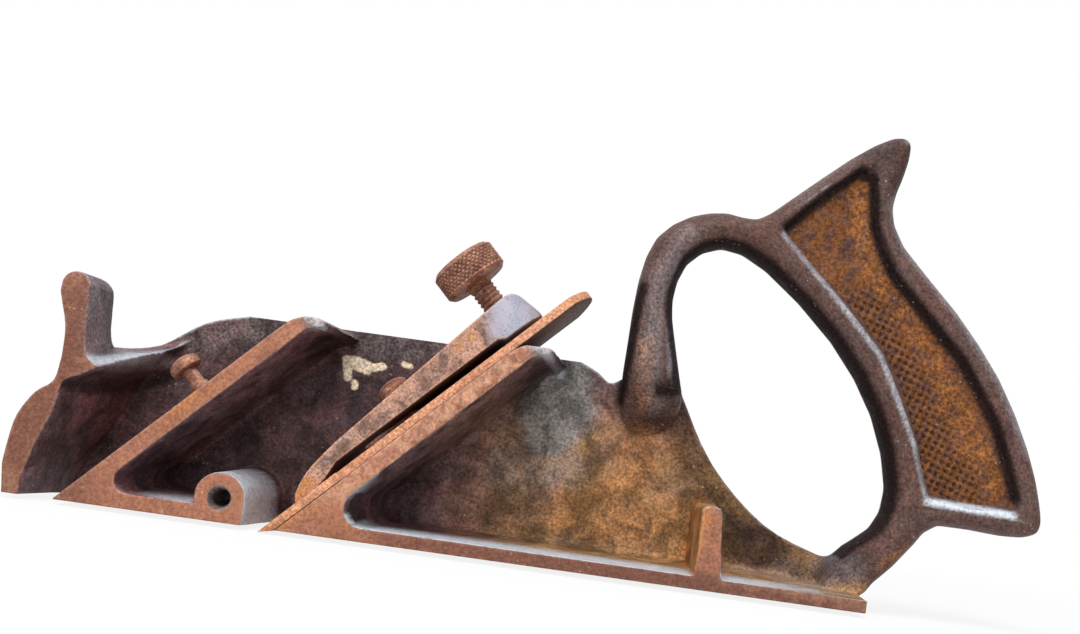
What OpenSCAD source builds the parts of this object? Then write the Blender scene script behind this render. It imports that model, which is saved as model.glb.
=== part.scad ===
// Duplex rebate plane: a cast body with a main and a bull-nose cutter seat, its cutter, lever cap, spur and depth gauge.
// X runs from toe to heel, Y from the open left side to the flat right side, Z up from the sole.
// The origin lies on the sole, in the middle of its length and width.

/* [Sole and web] */
// Length of the sole from toe to heel
sole_l = 208; // [200:1:220]
// Width of the sole, and of the cutter's edge
body_w = 38; // [34:0.5:42]
// Thickness of the side web
web_t = 5; // [4.5:0.5:6]
// Height of the web's level top edge above the sole
web_h = 52; // [50:0.5:54]
// Thickness of the front sole at its open edge
front_sole_t = 3.8; // [3:0.1:4.5]
// Thickness of the rear sole at its open edge
rear_sole_t = 3.2; // [2.6:0.1:4]
// Draft of the cast walls, in degrees
draft = 5; // [2:0.5:6]
// Radius of the cast fillets along the web
cast_fillet = 3; // [1.5:0.5:4]
// Radius in the sharp corner of the rear pocket
pocket_r = 4.4; // [3:0.2:5]
// Radius in the sharp corner of the front pocket
front_pocket_r = 3.1; // [2.6:0.1:4.4]

/* [Beds] */
// Angle of both cutter seats, in degrees
bed_angle = 45; // [44:0.5:46]
// Distance from the toe to the foot of the bull-nose bed
front_bed_x = 12.3; // [11.5:0.1:13]
// Distance from the toe to the foot of the main bed
rear_bed_x = 66.4; // [65:0.1:68]
// Thickness of a bed rib at its open edge
bed_t = 4.2; // [3.6:0.1:5]
// Length of the bull-nose seat before its end curls over
front_bed_l = 69.5; // [67:0.5:71]
// Length of the main seat before its end curls over
rear_bed_l = 70.5; // [69:0.5:72]
// Outer radius of the curl that ends a bed
bed_curl_r = 9; // [8:0.1:10]
// Thickness of the thin lip at the end of a curl
bed_lip = 1.3; // [1:0.1:2.5]
// Width of both mouths in the sole
mouth_l = 8; // [7:0.1:8.5]

/* [Toe and horn] */
// Length of the sole in front of the bull-nose mouth
toe_l = 4; // [3.6:0.1:4.8]
// Height of the horn above the sole
horn_h = 55; // [52:0.2:58]
// Depth of the horn from the open side
horn_depth = 17; // [14:0.5:19]
// Radius of the horn's inner top corner
horn_r = 5; // [3:0.5:7]
// Distance from the toe to the middle of the horn's round top
horn_x = 10.3; // [9.5:0.1:11]
// Radius of the horn's round top
horn_top_r = 3.5; // [3:0.1:4]
// Height of the nose's inner tip above the sole
nose_h = 28; // [26:0.5:30]

/* [Fence-arm boss and stiffening rib] */
// Radius of the fence-arm boss
boss_r = 6.2; // [5.6:0.1:6.8]
// Height of the fence-arm hole above the sole
arm_z = 5.8; // [5.4:0.1:6.4]
// Diameter of the fence-arm hole
arm_d = 4.2; // [3.8:0.1:5]
// Diameter of the countersink round the fence-arm hole
arm_countersink_d = 6; // [5.6:0.1:7]
// Depth of that countersink
arm_countersink_h = 2.4; // [1:0.1:3]
// Distance from the toe to the stiffening rib behind the main bed
rib_x = 166.8; // [150:0.5:175]
// Thickness of the stiffening rib at its top
rib_t = 4.7; // [4:0.1:6]
// Height of the stiffening rib above the sole
rib_h = 20; // [14:0.5:24]

/* [Handle] */
// Thickness of the handle across the plane
handle_t = 20; // [17:0.5:22]
// Distance from the right side of the plane to the handle
handle_inset = 2; // [1:0.5:3]
// Depth over which the handle's edges are rounded
handle_round = 7.5; // [5:0.5:8]
// Radius of the hollow, seen from above, in which the handle's tail leaves the web
tail_r = 14; // [10:0.5:16]
// Depth of the grip panel in each face of the handle
panel_depth = 3.5; // [2:0.5:5]

/* [Cutter] */
// Thickness of the cutter
cutter_t = 2.2; // [1.8:0.1:2.6]
// Length of the cutter from edge to crown
cutter_l = 98; // [94:0.5:102]
// Length of the full-width cutting end
cutter_head_l = 23.5; // [21:0.5:25]
// Set-back of the shank from the open side
shank_step = 1.2; // [0.8:0.1:2]
// Height of the crowned top end
crown_h = 5; // [3:0.5:6]
// Sharpening angle of the edge, in degrees
bevel_angle = 33; // [28:1:36]
// How far the edge stands below the sole
edge_drop = 0.9; // [0.4:0.1:1.2]

/* [Lever cap] */
// Distance from the sole along the bed to the cap's nose
cap_nose_s = 7.3; // [6.5:0.1:9]
// Length of the lever cap
cap_l = 74.7; // [73:0.1:76]
// Thickness of the cap's bar at mid length
cap_t = 5.2; // [4.6:0.1:6]
// Distance along the bed from the sole to the cap screws
cap_screw_s = 41.2; // [39:0.2:43]
// Slide of the cap along its keyhole
cap_slide = 10; // [9.4:0.2:11]
// Diameter of the thumb screw's shank
thumb_d = 6.35; // [5.6:0.05:7]
// Diameter of the thumb screw's head
thumb_head_d = 17; // [14:0.2:18]
// Height of the thumb screw's head
thumb_head_h = 7.4; // [5:0.2:9]
// Height of the thumb screw's head above the cutter
thumb_rise = 18.3; // [15:0.1:21]
// Height of a cap screw's head above its bed
cap_screw_h = 14.4; // [13.8:0.1:15]
// How much lower the head of the bull-nose bed's cap screw stands
front_screw_drop = 1.9; // [0:0.1:2.4]
// Diameter of a cap screw's head
cap_screw_head_d = 8.2; // [7.6:0.1:8.6]
// Diameter of a cap screw's shank
cap_screw_d = 4.8; // [4.2:0.1:5.2]

/* [Spur] */
// Distance from the toe to the spur's screw
spur_x = 39; // [37:0.5:40]
// Reach of a spur's arm from its screw
spur_reach = 8.4; // [7.6:0.1:8.8]
// Thickness of the spur
spur_t = 1.5; // [1.2:0.1:2]
// Diameter of the spur's screw
spur_screw_d = 3.6; // [3:0.1:4]

/* [Depth gauge] */
// Distance from the toe to the middle of the gauge's stem
gauge_x = 46; // [42:0.5:50]
// Width of the stem
gauge_w = 12; // [10:0.5:14]
// Thickness of the stem
gauge_t = 4; // [3.2:0.2:5]
// Length of the gauge's shoe
shoe_l = 34; // [26:1:40]
// Reach of the shoe from the plane's side
shoe_w = 12; // [9:0.5:16]
// Thickness of the shoe
shoe_t = 3.6; // [3:0.2:5]
// Height of the shoe above the sole
shoe_z = 20.5; // [19:0.5:21]
// Travel of the depth gauge
gauge_travel = 15; // [12:0.5:15]
// Diameter of the gauge's screw
gauge_screw_d = 5; // [4:0.1:5.5]
// Diameter of the head of the gauge's screw
gauge_head_d = 12; // [10:0.5:13]

/* [Hidden] */

$fn = 64;
// Clearance of a turning screw in its hole, on the radius
turn_fit = 0.06;
// Clearance between faces that slide on each other, and of the cutter over its seat
slide_gap = 0.1;
seat_gap = 0.05;
// Clearance of the cutter in the web's notches and of shanks in their slots
free_gap = 0.4;
// Run-out of a cut past the face that it starts from
bite = 0.5;
run_out = 1;

left_y = -body_w / 2;
right_y = body_w / 2;
web_y = right_y - web_t;
// Middle of the open width between the left side and the web, where the cap and its screws sit
seat_y = (left_y + web_y) / 2;
open_w = web_y - left_y;
arm_x = rear_bed_x - mouth_l - boss_r;
throat_x = rear_bed_x - mouth_l;
draft_growth = (open_w - cast_fillet) * tan(draft);
// The edge of the cutter lies on the upper face, this far down the bed from the sole
edge_s = -(edge_drop + cutter_t * cos(bed_angle)) / sin(bed_angle);
// Retraction and advance of the cutter that the web's notch and the cutter's slot leave free
cutter_slide = 12;
cutter_advance = 1;
// Width of the cutter's shank and of the lever cap, with a running gap beside the web
shank_w = open_w - 2 * shank_step;
cap_w = shank_w - 1;
slot_w = cap_screw_d + 2 * free_gap;
keyhole_d = cap_screw_head_d + 2 * free_gap;
// Height of the lever cap's underside above the seat, and slope of its top, in degrees
cap_under = cutter_t + 2.2;
cap_tilt = 4;
pad_d = 13;
thumb_s = cap_nose_s + cap_l - 7.9;
cap_screw_head_h = 3.8;
// Metal left at the bottom of a blind hole, and the depth of a cap screw's hole in its bed
blind_skin = 0.9;
screw_hole = bed_t - blind_skin;
// Inner end of the holes for the spur's and the gauge's screws
side_hole_y = web_y + blind_skin;
// The spur's recess in the right side; an arm that is turned down reaches below the sole by spur_drop
spur_drop = 0.6;
spur_z = spur_reach - spur_drop;
spur_recess = spur_t + 2 * slide_gap;
spur_y = right_y - spur_recess + slide_gap;
spur_head_h = 1.2;
spur_head_r = spur_screw_d / 2 + 1.2;
// The depth gauge's groove, stem and screw
gauge_groove = 1.5;
groove_z = spur_z + spur_reach + 2 * free_gap;
gauge_head_h = 5;
gauge_screw_z = shoe_z + shoe_t + gauge_head_d / 2 + free_gap;
stem_y = right_y + slide_gap;
stem_slot_w = gauge_screw_d + 2 * free_gap;
stem_top = gauge_screw_z + gauge_travel + stem_slot_w / 2 + 2.4;
steel = [0.50, 0.46, 0.44];
iron = [0.30, 0.24, 0.22];
rust = [0.45, 0.31, 0.25];

// Points of an arc, from angle a0 to a1 in n steps
function arc(centre, r, a0, a1, n) =
    [for (i = [0:n]) centre + r * [cos(a0 + (a1 - a0) * i / n), sin(a0 + (a1 - a0) * i / n)]];

// A smooth closed curve through the points p, each span cut into n steps; works on points of any size
function spline_at(a, b, c, d, t) =
    0.5 * (2 * b + (c - a) * t + (2 * a - 5 * b + 4 * c - d) * t * t + (3 * b - a - 3 * c + d) * t * t * t);
function closed_curve(p, n) =
    let (m = len(p))
    [for (i = [0:m - 1], k = [0:n - 1])
        spline_at(p[(i + m - 1) % m], p[i], p[(i + 1) % m], p[(i + 2) % m], k / n)];
// The same for an open curve, ends included
function open_curve(p, n) =
    let (m = len(p))
    [for (i = [0:m - 2], k = [0:n - 1])
        spline_at(p[max(i - 1, 0)], p[i], p[i + 1], p[min(i + 2, m - 1)], k / n), p[m - 1]];

// A point s up a bed and h above its seat, in the side view
function on_bed_line(x0, s, h) =
    [x0 + s * cos(bed_angle) - h * sin(bed_angle), s * sin(bed_angle) + h * cos(bed_angle)];

// Cuts an outline p, counter-clockwise, into triangles by clipping one ear after another; ids are its points' numbers
function turn(a, b, c) = (b[0] - a[0]) * (c[1] - a[1]) - (b[1] - a[1]) * (c[0] - a[0]);
function holds(a, b, c, q) = turn(a, b, q) >= 0 && turn(b, c, q) >= 0 && turn(c, a, q) >= 0;
function is_ear(p, ids, i) =
    let (n = len(ids), a = p[ids[(i + n - 1) % n]], b = p[ids[i]], c = p[ids[(i + 1) % n]])
    turn(a, b, c) > 1e-6
    && len([for (k = [2:n - 2]) if (holds(a, b, c, p[ids[(i + k) % n]])) k]) == 0;
function first_ear(p, ids, i) = i >= len(ids) - 1 || is_ear(p, ids, i) ? i : first_ear(p, ids, i + 1);
function triangles(p, ids, done = []) =
    let (n = len(ids))
    n < 3 ? done :
    let (e = first_ear(p, ids, 0))
    triangles(p, [for (k = [1:n - 1]) ids[(e + k) % n]],
              concat(done, [[ids[(e + n - 1) % n], ids[e], ids[(e + 1) % n]]]));

// A solid through rings, each [y, outline], with outlines counter-clockwise in the X-Z view from the left
module loft(rings) {
    n = len(rings[0][1]);
    last = len(rings) - 1;
    points = [for (ring = rings) for (p = ring[1]) [p[0], ring[0], p[1]]];
    sides = [for (j = [0:last - 1], i = [0:n - 1])
        let (a = j * n + i, b = j * n + (i + 1) % n) each [[a, b, b + n], [a, b + n, a + n]]];
    near_cap = [for (f = triangles(rings[0][1], [for (i = [0:n - 1]) i])) [f[2], f[1], f[0]]];
    far_cap = [for (f = triangles(rings[last][1], [for (i = [0:n - 1]) i])) f + last * n * [1, 1, 1]];
    polyhedron(points = points, faces = concat(near_cap, sides, far_cap));
}

// An outline of the X-Z view, extruded from y0 to y1
module side_plate(y0, y1) {
    translate([0, y1, 0]) rotate([90, 0, 0]) linear_extrude(y1 - y0) children();
}

// Shifts shapes drawn from the toe into the part's frame
module from_toe() {
    translate([-sole_l / 2, 0, 0]) children();
}

// Places shapes drawn on a seat: X up the bed, Y across the plane from the cap's middle, Z off the seat
module on_bed(x0) {
    from_toe() translate([x0, seat_y, 0]) rotate([0, -bed_angle, 0]) children();
}

// Body casting

// Centre of the curl that ends a bed, its outer arc away from the seat, and the underside that runs back from a thin lip
function curl_centre(x0, length) = on_bed_line(x0, length, -bed_curl_r);
function curl_out(x0, length, sweep) =
    arc(curl_centre(x0, length), bed_curl_r, bed_angle + 90, bed_angle + 90 - sweep, 8);
function curl_back(x0, length, g, sweep) =
    let (root = max(bed_curl_r - bed_t - g, 0.8), end = max(bed_curl_r - bed_lip - 0.6 * g, root), n = 7)
    [for (i = [0:n])
        let (a = bed_angle + 90 - sweep * (1 - i / n))
        curl_centre(x0, length) + (root + (end - root) * pow(1 - i / n, 1.5)) * [cos(a), sin(a)]];

// The corner of a pocket, of radius r, between a bed's underside and a floor of height z
function pocket_corner(x0, z, g, r) =
    let (h = -(bed_t + g + r), cz = z + r, cx = x0 + (cz * cos(bed_angle) - h) / sin(bed_angle))
    arc([cx, cz], r, bed_angle + 90, 270, 6);

// A bed in the outline of the open side: up the seat from below the sole, round the curl and down the underside
function bed_edge(x0, length, low, g, sweep) =
    concat([on_bed_line(x0, -low / sin(bed_angle), 0)], curl_out(x0, length, sweep), curl_back(x0, length, g, sweep));

// The toe's wall in the outline of the open side, from the run-out above the web down to the mouth: the near edge of
// the saddle under the horn, the nose's tip and the nose's inner curve. u leans the wall towards the web.
function toe_wall(u, above) =
    let (ridge = [horn_x + 8.4 + 9 * u, nose_h + 4.8 + 8.6 * u])
    concat([[ridge[0] + 0.3, above], ridge],
           open_curve([[horn_x + 4 + 9 * u, nose_h + 2.1 + 5.4 * u], [toe_l + 6.6 + 7.4 * u, nose_h + 2.4 * u],
                       [toe_l + 5.3 + 5 * u, nose_h - 7.2 + u], [toe_l + 2.6 + 3 * u, nose_h - 14.6],
                       [toe_l + 0.2 + u, 4]], 3),
           [[toe_l + 0.6 * u, -run_out]]);

// Outline of what is open on the left side: both throats and the pockets behind the beds, with beds, boss and
// stiffening rib left standing. g is the draft's growth of the walls, f the fillet's at the web; the seats have none.
// The run-outs below the sole and the floors differ in height, so that no two stretches lie on one line.
function open_side(g, f, sweep) =
    let (w = g + f, w_boss = 0.6 * w, boss = boss_r + 0.6 * w_boss, front_floor = front_sole_t + w_boss,
         rear_floor = rear_sole_t + 0.3 * g + 0.5 * f, floor_fall = 0.2, rib_r = 1.6, rib_flare = 1.6,
         above = web_h + 24)
    concat(toe_wall((g + 0.3 * f) / draft_growth, above),
           bed_edge(front_bed_x, front_bed_l, run_out, w_boss, sweep),
           pocket_corner(front_bed_x, front_floor, w_boss, front_pocket_r),
           arc([arm_x, arm_z], boss, 180 + asin((arm_z - front_floor) / boss), 0, 14),
           [[arm_x + boss, -1.5 * run_out]],
           bed_edge(rear_bed_x, rear_bed_l, 1.5 * run_out, w, sweep),
           pocket_corner(rear_bed_x, rear_floor + floor_fall, w, pocket_r),
           [[rib_x - 0.4 * g, rear_floor]],
           arc([rib_x + rib_r - 0.4 * g, rib_h - rib_r], rib_r, 180, 90, 4),
           arc([rib_x + rib_t - rib_r + 0.4 * g, rib_h - rib_r], rib_r, 90, 0, 4),
           [[rib_x + rib_t + rib_flare + 0.4 * g, rear_floor - floor_fall / 2],
            [sole_l + 12, rear_floor - floor_fall], [sole_l + 12, above + run_out]]);

// The open side as a solid to cut away, each ring [y, draft growth, fillet growth, sweep of a bed's curl]
module open_space() {
    near_sweep = 70;
    far_sweep = 84;
    rings = [[left_y - run_out, 0, 0, near_sweep], [left_y, 0, 0, near_sweep],
             [web_y - cast_fillet, draft_growth, 0, far_sweep],
             [web_y - cast_fillet * 0.3, draft_growth, cast_fillet * 0.3, far_sweep],
             [web_y, draft_growth, cast_fillet, far_sweep]];
    loft([for (r = rings) [r[0], open_side(r[1], r[2], r[3])]]);
}

// What is cut away above the toe: its top rises from the open side to the web, [y, height above the nose's tip]
module saddle_space() {
    rises = [[left_y - run_out, 4.4], [left_y + 8, 7.4], [left_y + 17, 9.4], [left_y + 24, 10.1], [web_y - 3, 11.6],
             [web_y - 0.2, 13]];
    loft([for (r = rises)
        let (z = nose_h + r[1], lift = 0.35 * r[1])
        [r[0], [[-mouth_l, z], [horn_x + 4, z + 0.1], [horn_x + 12, z + 0.1 * lift], [horn_x + 24, z + lift],
                [horn_x + 24, web_h + 23], [-mouth_l, web_h + 23]]]]);
}

// The horn: a post with a round top, its face flush with the open side and its foot flared into the saddle
module horn() {
    top = [horn_x, horn_h - horn_top_r];
    foot_z = nose_h + 4.4;
    post = concat(open_curve([[horn_x + 8.2, foot_z + 0.5], [horn_x + 5.2, foot_z + 2.6], [horn_x + 4.2, foot_z + 7],
                              [horn_x + 3.6, top[1] - 3]], 3),
                  arc(top, horn_top_r, 12, 168, 10),
                  open_curve([[horn_x - 3.6, top[1] - 1.6], [horn_x - 2.7, top[1] - 4.6], [horn_x - 1.2, top[1] - 9.6],
                              [horn_x - 0.8, foot_z + 4], [horn_x - 1.1, foot_z - 1]], 3),
                  [[horn_x + 4, foot_z - 1]]);
    back = left_y + horn_depth;
    flare = 7;
    intersection() {
        side_plate(left_y, back + flare) polygon(post);
        rotate([90, 0, 90]) linear_extrude(horn_x + 10) polygon(concat(
            [[left_y, foot_z - 2], [back + flare, foot_z - 2]],
            arc([back + flare, foot_z + 5 + flare], flare, 270, 180, 6),
            arc([back - horn_r, horn_h - horn_r], horn_r, 0, 90, 8), [[left_y, horn_h]]));
    }
}

// The whole casting in the side view without horn and handle: bowed nose, level top, and the low curve under the hand,
// with the points behind the main bed given from the heel
heel_curve = [[-1, 9], [-8, 10.6], [-23.5, 16.6], [-38.6, 30.1], [-48.6, 46.7], [-50.8, 50.5]];
web_dip = [[-65, web_h - 3], [-68, web_h - 4.4], [-71.5, web_h - 2], [-76, web_h]];
brow = [[horn_x + 33.7, web_h], [horn_x + 22.7, web_h - 3.2], [horn_x + 11.7, web_h - 10.7], [horn_x + 5.2, web_h - 12.8]];
nose_curve = [[9.4, nose_h + 10.8], [9.3, nose_h + 6], [8.4, nose_h + 0.2], [4.4, nose_h - 3.1], [0.9, nose_h - 9],
              [-0.3, nose_h - 15], [-0.9, nose_h - 21]];
function from_heel(points) = [for (p = points) [sole_l + p[0], p[1]]];
function side_outline() =
    concat([[0, 0], [sole_l, 0], [sole_l, rear_sole_t + 1.2]], open_curve(from_heel(heel_curve), 4),
           from_heel([[-60, 50.5]]), open_curve(from_heel(web_dip), 4), open_curve(brow, 4), open_curve(nose_curve, 3));

// The handle: [x from the heel, z, edge radius] round its hooked outline, from the front bar's foot over the top to
// the heel and back
handle_points = [
    [-64.8, 44, 3.6], [-64.7, 58, 4.4], [-64.1, 74, 4.6], [-61, 85.5, 4.6], [-53, 92, 4.2], [-44, 94, 3.6],
    [-36.5, 93.2, 2.4], [-29, 99.2, 3.2], [-15, 111.8, 3], [-5, 118.4, 2.2], [-0.1, 117, 1.8],
    [-1, 108.5, 2.8], [-2.6, 100.5, 3.4], [1.5, 91.3, 4], [16.5, 76.9, 4.6], [29.4, 61.5, 4.6],
    [38.6, 45, 4.4], [43.2, 31.5, 3], [43.2, 23.8, 1.8], [35, 22.2, 2.6], [18.8, 22.6, 3], [13.4, 17, 3.2],
    [8.8, 10.8, 3], [4.2, 6, 2], [0.4, 1.9, 1.2], [-9, 2.8, 1.4], [-4.8, 13, 2.6], [2.8, 19.6, 4],
    [5.4, 30, 4.6], [-0.4, 48, 4.6], [-13, 65.4, 4.6], [-32, 81.4, 4.2], [-44, 85.6, 3.8], [-52.4, 80.2, 4],
    [-54.8, 70, 4.6], [-53, 60.6, 4.6], [-50.4, 51, 4.6], [-48.6, 43, 5], [-52.6, 36.6, 5.4], [-59, 35, 6],
    [-63.4, 38, 5]];

// The handle's outline, drawn in by a share of the edge radius; the points run clockwise, so the list is reversed
function handle_ring(share) =
    let (c = closed_curve(handle_points, 2), n = len(c))
    [for (k = [0:n - 1])
        let (i = n - 1 - k, back = c[(i + n - 1) % n], ahead = c[(i + 1) % n],
             along = [ahead[0] - back[0], ahead[1] - back[1]], inward = [along[1], -along[0]] / norm(along))
        [sole_l + c[i][0], c[i][1]] + inward * c[i][2] * share];

// The grip panel's outline, [x from the heel, z], drawn in by d
panel_points = [
    [-30.5, 91], [-11.8, 109.4], [-8.2, 107.6], [-6.4, 94.8], [-0.5, 84], [19.6, 64.6], [30.2, 49.4],
    [37.2, 32], [35.4, 28.2], [14.4, 28.8], [9.4, 41.8], [-1.6, 63], [-17, 77.8]];
function panel_ring(d) =
    let (c = closed_curve(panel_points, 2), n = len(c))
    [for (k = [0:n - 1])
        let (i = n - 1 - k, along = c[(i + 1) % n] - c[(i + n - 1) % n], inward = [along[1], -along[0]] / norm(along))
        [sole_l, 0] + c[i] + inward * d];

module handle() {
    y1 = right_y - handle_inset;
    y0 = y1 - handle_t;
    steps = [90, 55, 25, 0];
    wall = 1.6;
    difference() {
        loft(concat(
            [for (a = steps) [y0 + handle_round * (1 - sin(a)), handle_ring(1 - cos(a))]],
            [for (i = [3:-1:0]) [y1 - handle_round * (1 - sin(steps[i])), handle_ring(1 - cos(steps[i]))]]));
        loft([[y0 - bite, panel_ring(0)], [y0 + panel_depth, panel_ring(wall)]]);
        loft([[y1 - panel_depth, panel_ring(wall)], [y1 + bite, panel_ring(0)]]);
    }
}

// The hollow between the web and the handle's tail, below the web's edge
module tail_root() {
    x1 = sole_l - 4.5;
    intersection() {
        side_plate(web_y - tail_r - bite, right_y - handle_inset) polygon(side_outline());
        linear_extrude(web_h) difference() {
            translate([x1 - tail_r, web_y - tail_r]) square([tail_r + 2, tail_r + 1]);
            translate([x1 - tail_r, web_y - tail_r]) circle(tail_r);
        }
    }
}

// The notch in the web that lets the cutter's full width reach the right side
module web_notch(x0) {
    length = cutter_head_l + cutter_slide + edge_s + free_gap;
    translate([x0, web_y - cast_fillet, 0]) rotate([0, -bed_angle, 0])
        translate([-2 * mouth_l, 0, -slide_gap])
            cube([length + 2 * mouth_l, web_t + cast_fillet + bite, mouth_l * sin(bed_angle) + slide_gap]);
}

module body_casting() {
    color(iron) difference() {
        from_toe() difference() {
            union() {
                difference() {
                    side_plate(left_y, right_y) polygon(side_outline());
                    open_space();
                    saddle_space();
                }
                horn();
                handle();
                tail_root();
            }
            // Both mouths go right through the web
            web_notch(front_bed_x);
            web_notch(rear_bed_x);
            // Fence-arm hole, through the boss and the web
            translate([arm_x, 0, arm_z]) rotate([90, 0, 0])
                cylinder(d = arm_d, h = body_w + 2 * bite, center = true);
            translate([arm_x, left_y, arm_z]) rotate([-90, 0, 0])
                cylinder(d1 = arm_countersink_d, d2 = arm_d, h = arm_countersink_h);
            // Recess and hole for the spur
            translate([spur_x, right_y + bite, spur_z]) rotate([90, 0, 0])
                cylinder(r = spur_reach + free_gap, h = spur_recess + bite);
            translate([spur_x, right_y, spur_z]) rotate([90, 0, 0])
                cylinder(r = spur_screw_d / 2 + turn_fit, h = right_y - side_hole_y);
            // Groove and hole for the depth gauge
            translate([gauge_x - gauge_w / 2 - slide_gap, right_y - gauge_groove, groove_z])
                cube([gauge_w + 2 * slide_gap, gauge_groove + bite, web_h]);
            translate([gauge_x, right_y, gauge_screw_z]) rotate([90, 0, 0])
                cylinder(r = gauge_screw_d / 2 + turn_fit, h = right_y - side_hole_y);
        }
        // Holes for the cap screws
        for (x0 = [front_bed_x, rear_bed_x])
            on_bed(x0) translate([cap_screw_s, 0, -screw_hole])
                cylinder(r = cap_screw_d / 2 + turn_fit, h = screw_hole + bite);
    }
}

// Cutter and lever cap

module cutter() {
    far = edge_s + cutter_l;
    slot_low = cap_screw_s - cutter_slide - slot_w / 2 - free_gap;
    slot_high = cap_screw_s + cutter_advance + 12;
    crown_r = (shank_w * shank_w / 4 + crown_h * crown_h) / (2 * crown_h);
    color(steel) difference() {
        on_bed(rear_bed_x) union() {
            translate([edge_s, -seat_y - body_w / 2, seat_gap])
                cube([cutter_head_l, body_w, cutter_t - seat_gap]);
            translate([0, 0, seat_gap]) linear_extrude(cutter_t - seat_gap) difference() {
                translate([edge_s + 1, -shank_w / 2]) square([cutter_l - 1, shank_w]);
                difference() {
                    translate([far - crown_h, -shank_w / 2 - bite]) square([crown_h + bite, shank_w + 2 * bite]);
                    translate([far - crown_r, 0]) circle(crown_r, $fn = 128);
                }
                translate([slot_low, -slot_w / 2]) square([slot_high - slot_low, slot_w]);
                translate([slot_high, 0]) circle(d = keyhole_d);
            }
        }
        // Bevel on the bed side
        on_bed(rear_bed_x) translate([edge_s, 0, cutter_t]) rotate([0, bevel_angle, 0])
            translate([-bite, -body_w, -3 * cutter_t]) cube([5 * cutter_t, 2 * body_w, 3 * cutter_t]);
    }
}

// Height of the lever cap's underside and of its sloping top above the seat
function cap_top(s) = cap_under + cap_t + (s - cap_screw_s) * tan(cap_tilt);

// Side view of the lever cap: a curved nose on the cutter, a bar that thickens upwards and a heavier head
function cap_profile() =
    let (n = cap_nose_s, z = cutter_t + slide_gap, far = cap_nose_s + cap_l, nose_end = n + 17)
    concat([[n, z], [n + 7, z], [n + 9.5, z + 0.5], [n + 14, cap_under], [far - 12, cap_under],
            [far - 10.5, cap_under - 1], [far - 0.8, cap_under - 1], [far, cap_under - 0.2]],
           arc([far - 4.4, cap_top(far) - 3.4], 3, 14, 90 + cap_tilt, 6),
           open_curve([[nose_end, cap_top(nose_end)], [n + 9.2, z + 5], [n + 4.4, z + 3.5], [n + 1.4, z + 1.8]], 3));

module lever_cap() {
    far = cap_nose_s + cap_l;
    corner = 9;
    color(rust) on_bed(rear_bed_x) difference() {
        union() {
            intersection() {
                rotate([90, 0, 0]) linear_extrude(cap_w, center = true) polygon(cap_profile());
                linear_extrude(cap_top(far) + bite) union() {
                    translate([0, -cap_w / 2]) square([far - corner, cap_w]);
                    translate([0, corner - cap_w / 2]) square([far, cap_w - 2 * corner]);
                    for (side = [-1, 1])
                        translate([far - corner, side * (cap_w / 2 - corner)]) circle(corner);
                }
            }
            // Pad under the screw's head
            translate([cap_screw_s, 0, cap_under])
                cylinder(d = pad_d, h = cap_screw_h - cap_screw_head_h - slide_gap - cap_under);
        }
        // Keyhole: the head goes through its round end, and the shank then lies in the slot
        translate([cap_screw_s - cap_slide, 0, 0]) cylinder(d = keyhole_d, h = cap_screw_h);
        translate([cap_screw_s, 0, 0]) cylinder(d = slot_w, h = cap_screw_h);
        translate([cap_screw_s - cap_slide, -slot_w / 2, 0]) cube([cap_slide, slot_w, cap_screw_h]);
        // Hole for the thumb screw
        translate([thumb_s, 0, 0]) cylinder(r = thumb_d / 2 + turn_fit, h = cap_top(far) + bite);
    }
}

// Screws

module cap_thumb_screw() {
    low = cutter_t + slide_gap;
    head = cutter_t + thumb_rise;
    top = head + thumb_head_h;
    r = thumb_d / 2;
    head_r = thumb_head_d / 2;
    chamfer = 0.9;
    color(rust) on_bed(rear_bed_x) translate([thumb_s, 0, 0]) rotate_extrude()
        polygon([[0, low], [r - chamfer, low], [r, low + chamfer], [r, head], [head_r - chamfer, head],
                 [head_r, head + chamfer], [head_r, top - chamfer], [head_r - chamfer, top], [0, top]]);
}

// A button-headed screw that stands h above a bed: shank, waist that flares at both ends, and a domed, slotted head
module cap_screw(h) {
    r = cap_screw_d / 2;
    head_r = cap_screw_head_d / 2;
    under = h - cap_screw_head_h;
    rim = 1.6;
    waist_r = 1.9;
    waist_z = h - 8.4;
    foot = slide_gap - screw_hole;
    belly = [for (a = [0:30:60]) [head_r - 0.9 + 0.9 * sin(a), under + 0.9 - 0.9 * cos(a)]];
    dome = [for (a = [0:15:90]) [head_r * cos(a), under + rim + (cap_screw_head_h - rim) * sin(a)]];
    driver_slot = 1.1;
    color(rust) difference() {
        rotate_extrude() polygon(concat([[0, foot], [r, foot], [r, waist_z], [waist_r, waist_z + 0.8],
            [waist_r, under]], belly, dome));
        translate([-head_r, -driver_slot / 2, h - driver_slot]) cube([2 * head_r, driver_slot, 2 * driver_slot]);
    }
}

module rear_cap_screw() {
    on_bed(rear_bed_x) translate([cap_screw_s, 0, 0]) cap_screw(cap_screw_h);
}

module front_cap_screw() {
    on_bed(front_bed_x) translate([cap_screw_s, 0, 0]) cap_screw(cap_screw_h - front_screw_drop);
}

// Spur and depth gauge, on the right side

// The spur: a clover of three pointed arms, with the blank side turned down out of use
module spur() {
    hub_r = 4.4;
    arm_r = 2.3;
    color(steel) from_toe() translate([spur_x, 0, spur_z]) difference() {
        side_plate(spur_y, spur_y + spur_t) union() {
            circle(hub_r);
            for (turn = [0, 90, 180]) rotate(turn) {
                translate([0, -arm_r]) square([spur_reach - arm_r, 2 * arm_r]);
                translate([spur_reach - arm_r, 0]) circle(arm_r);
            }
        }
        translate([0, spur_y - bite, 0]) rotate([-90, 0, 0]) cylinder(r = spur_screw_d / 2 + turn_fit, h = spur_t + 2 * bite);
        translate([0, spur_y + spur_t - spur_head_h, 0]) rotate([-90, 0, 0])
            cylinder(r1 = spur_screw_d / 2 + turn_fit, r2 = spur_head_r + turn_fit + slide_gap, h = spur_head_h + 0.01);
    }
}

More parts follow.
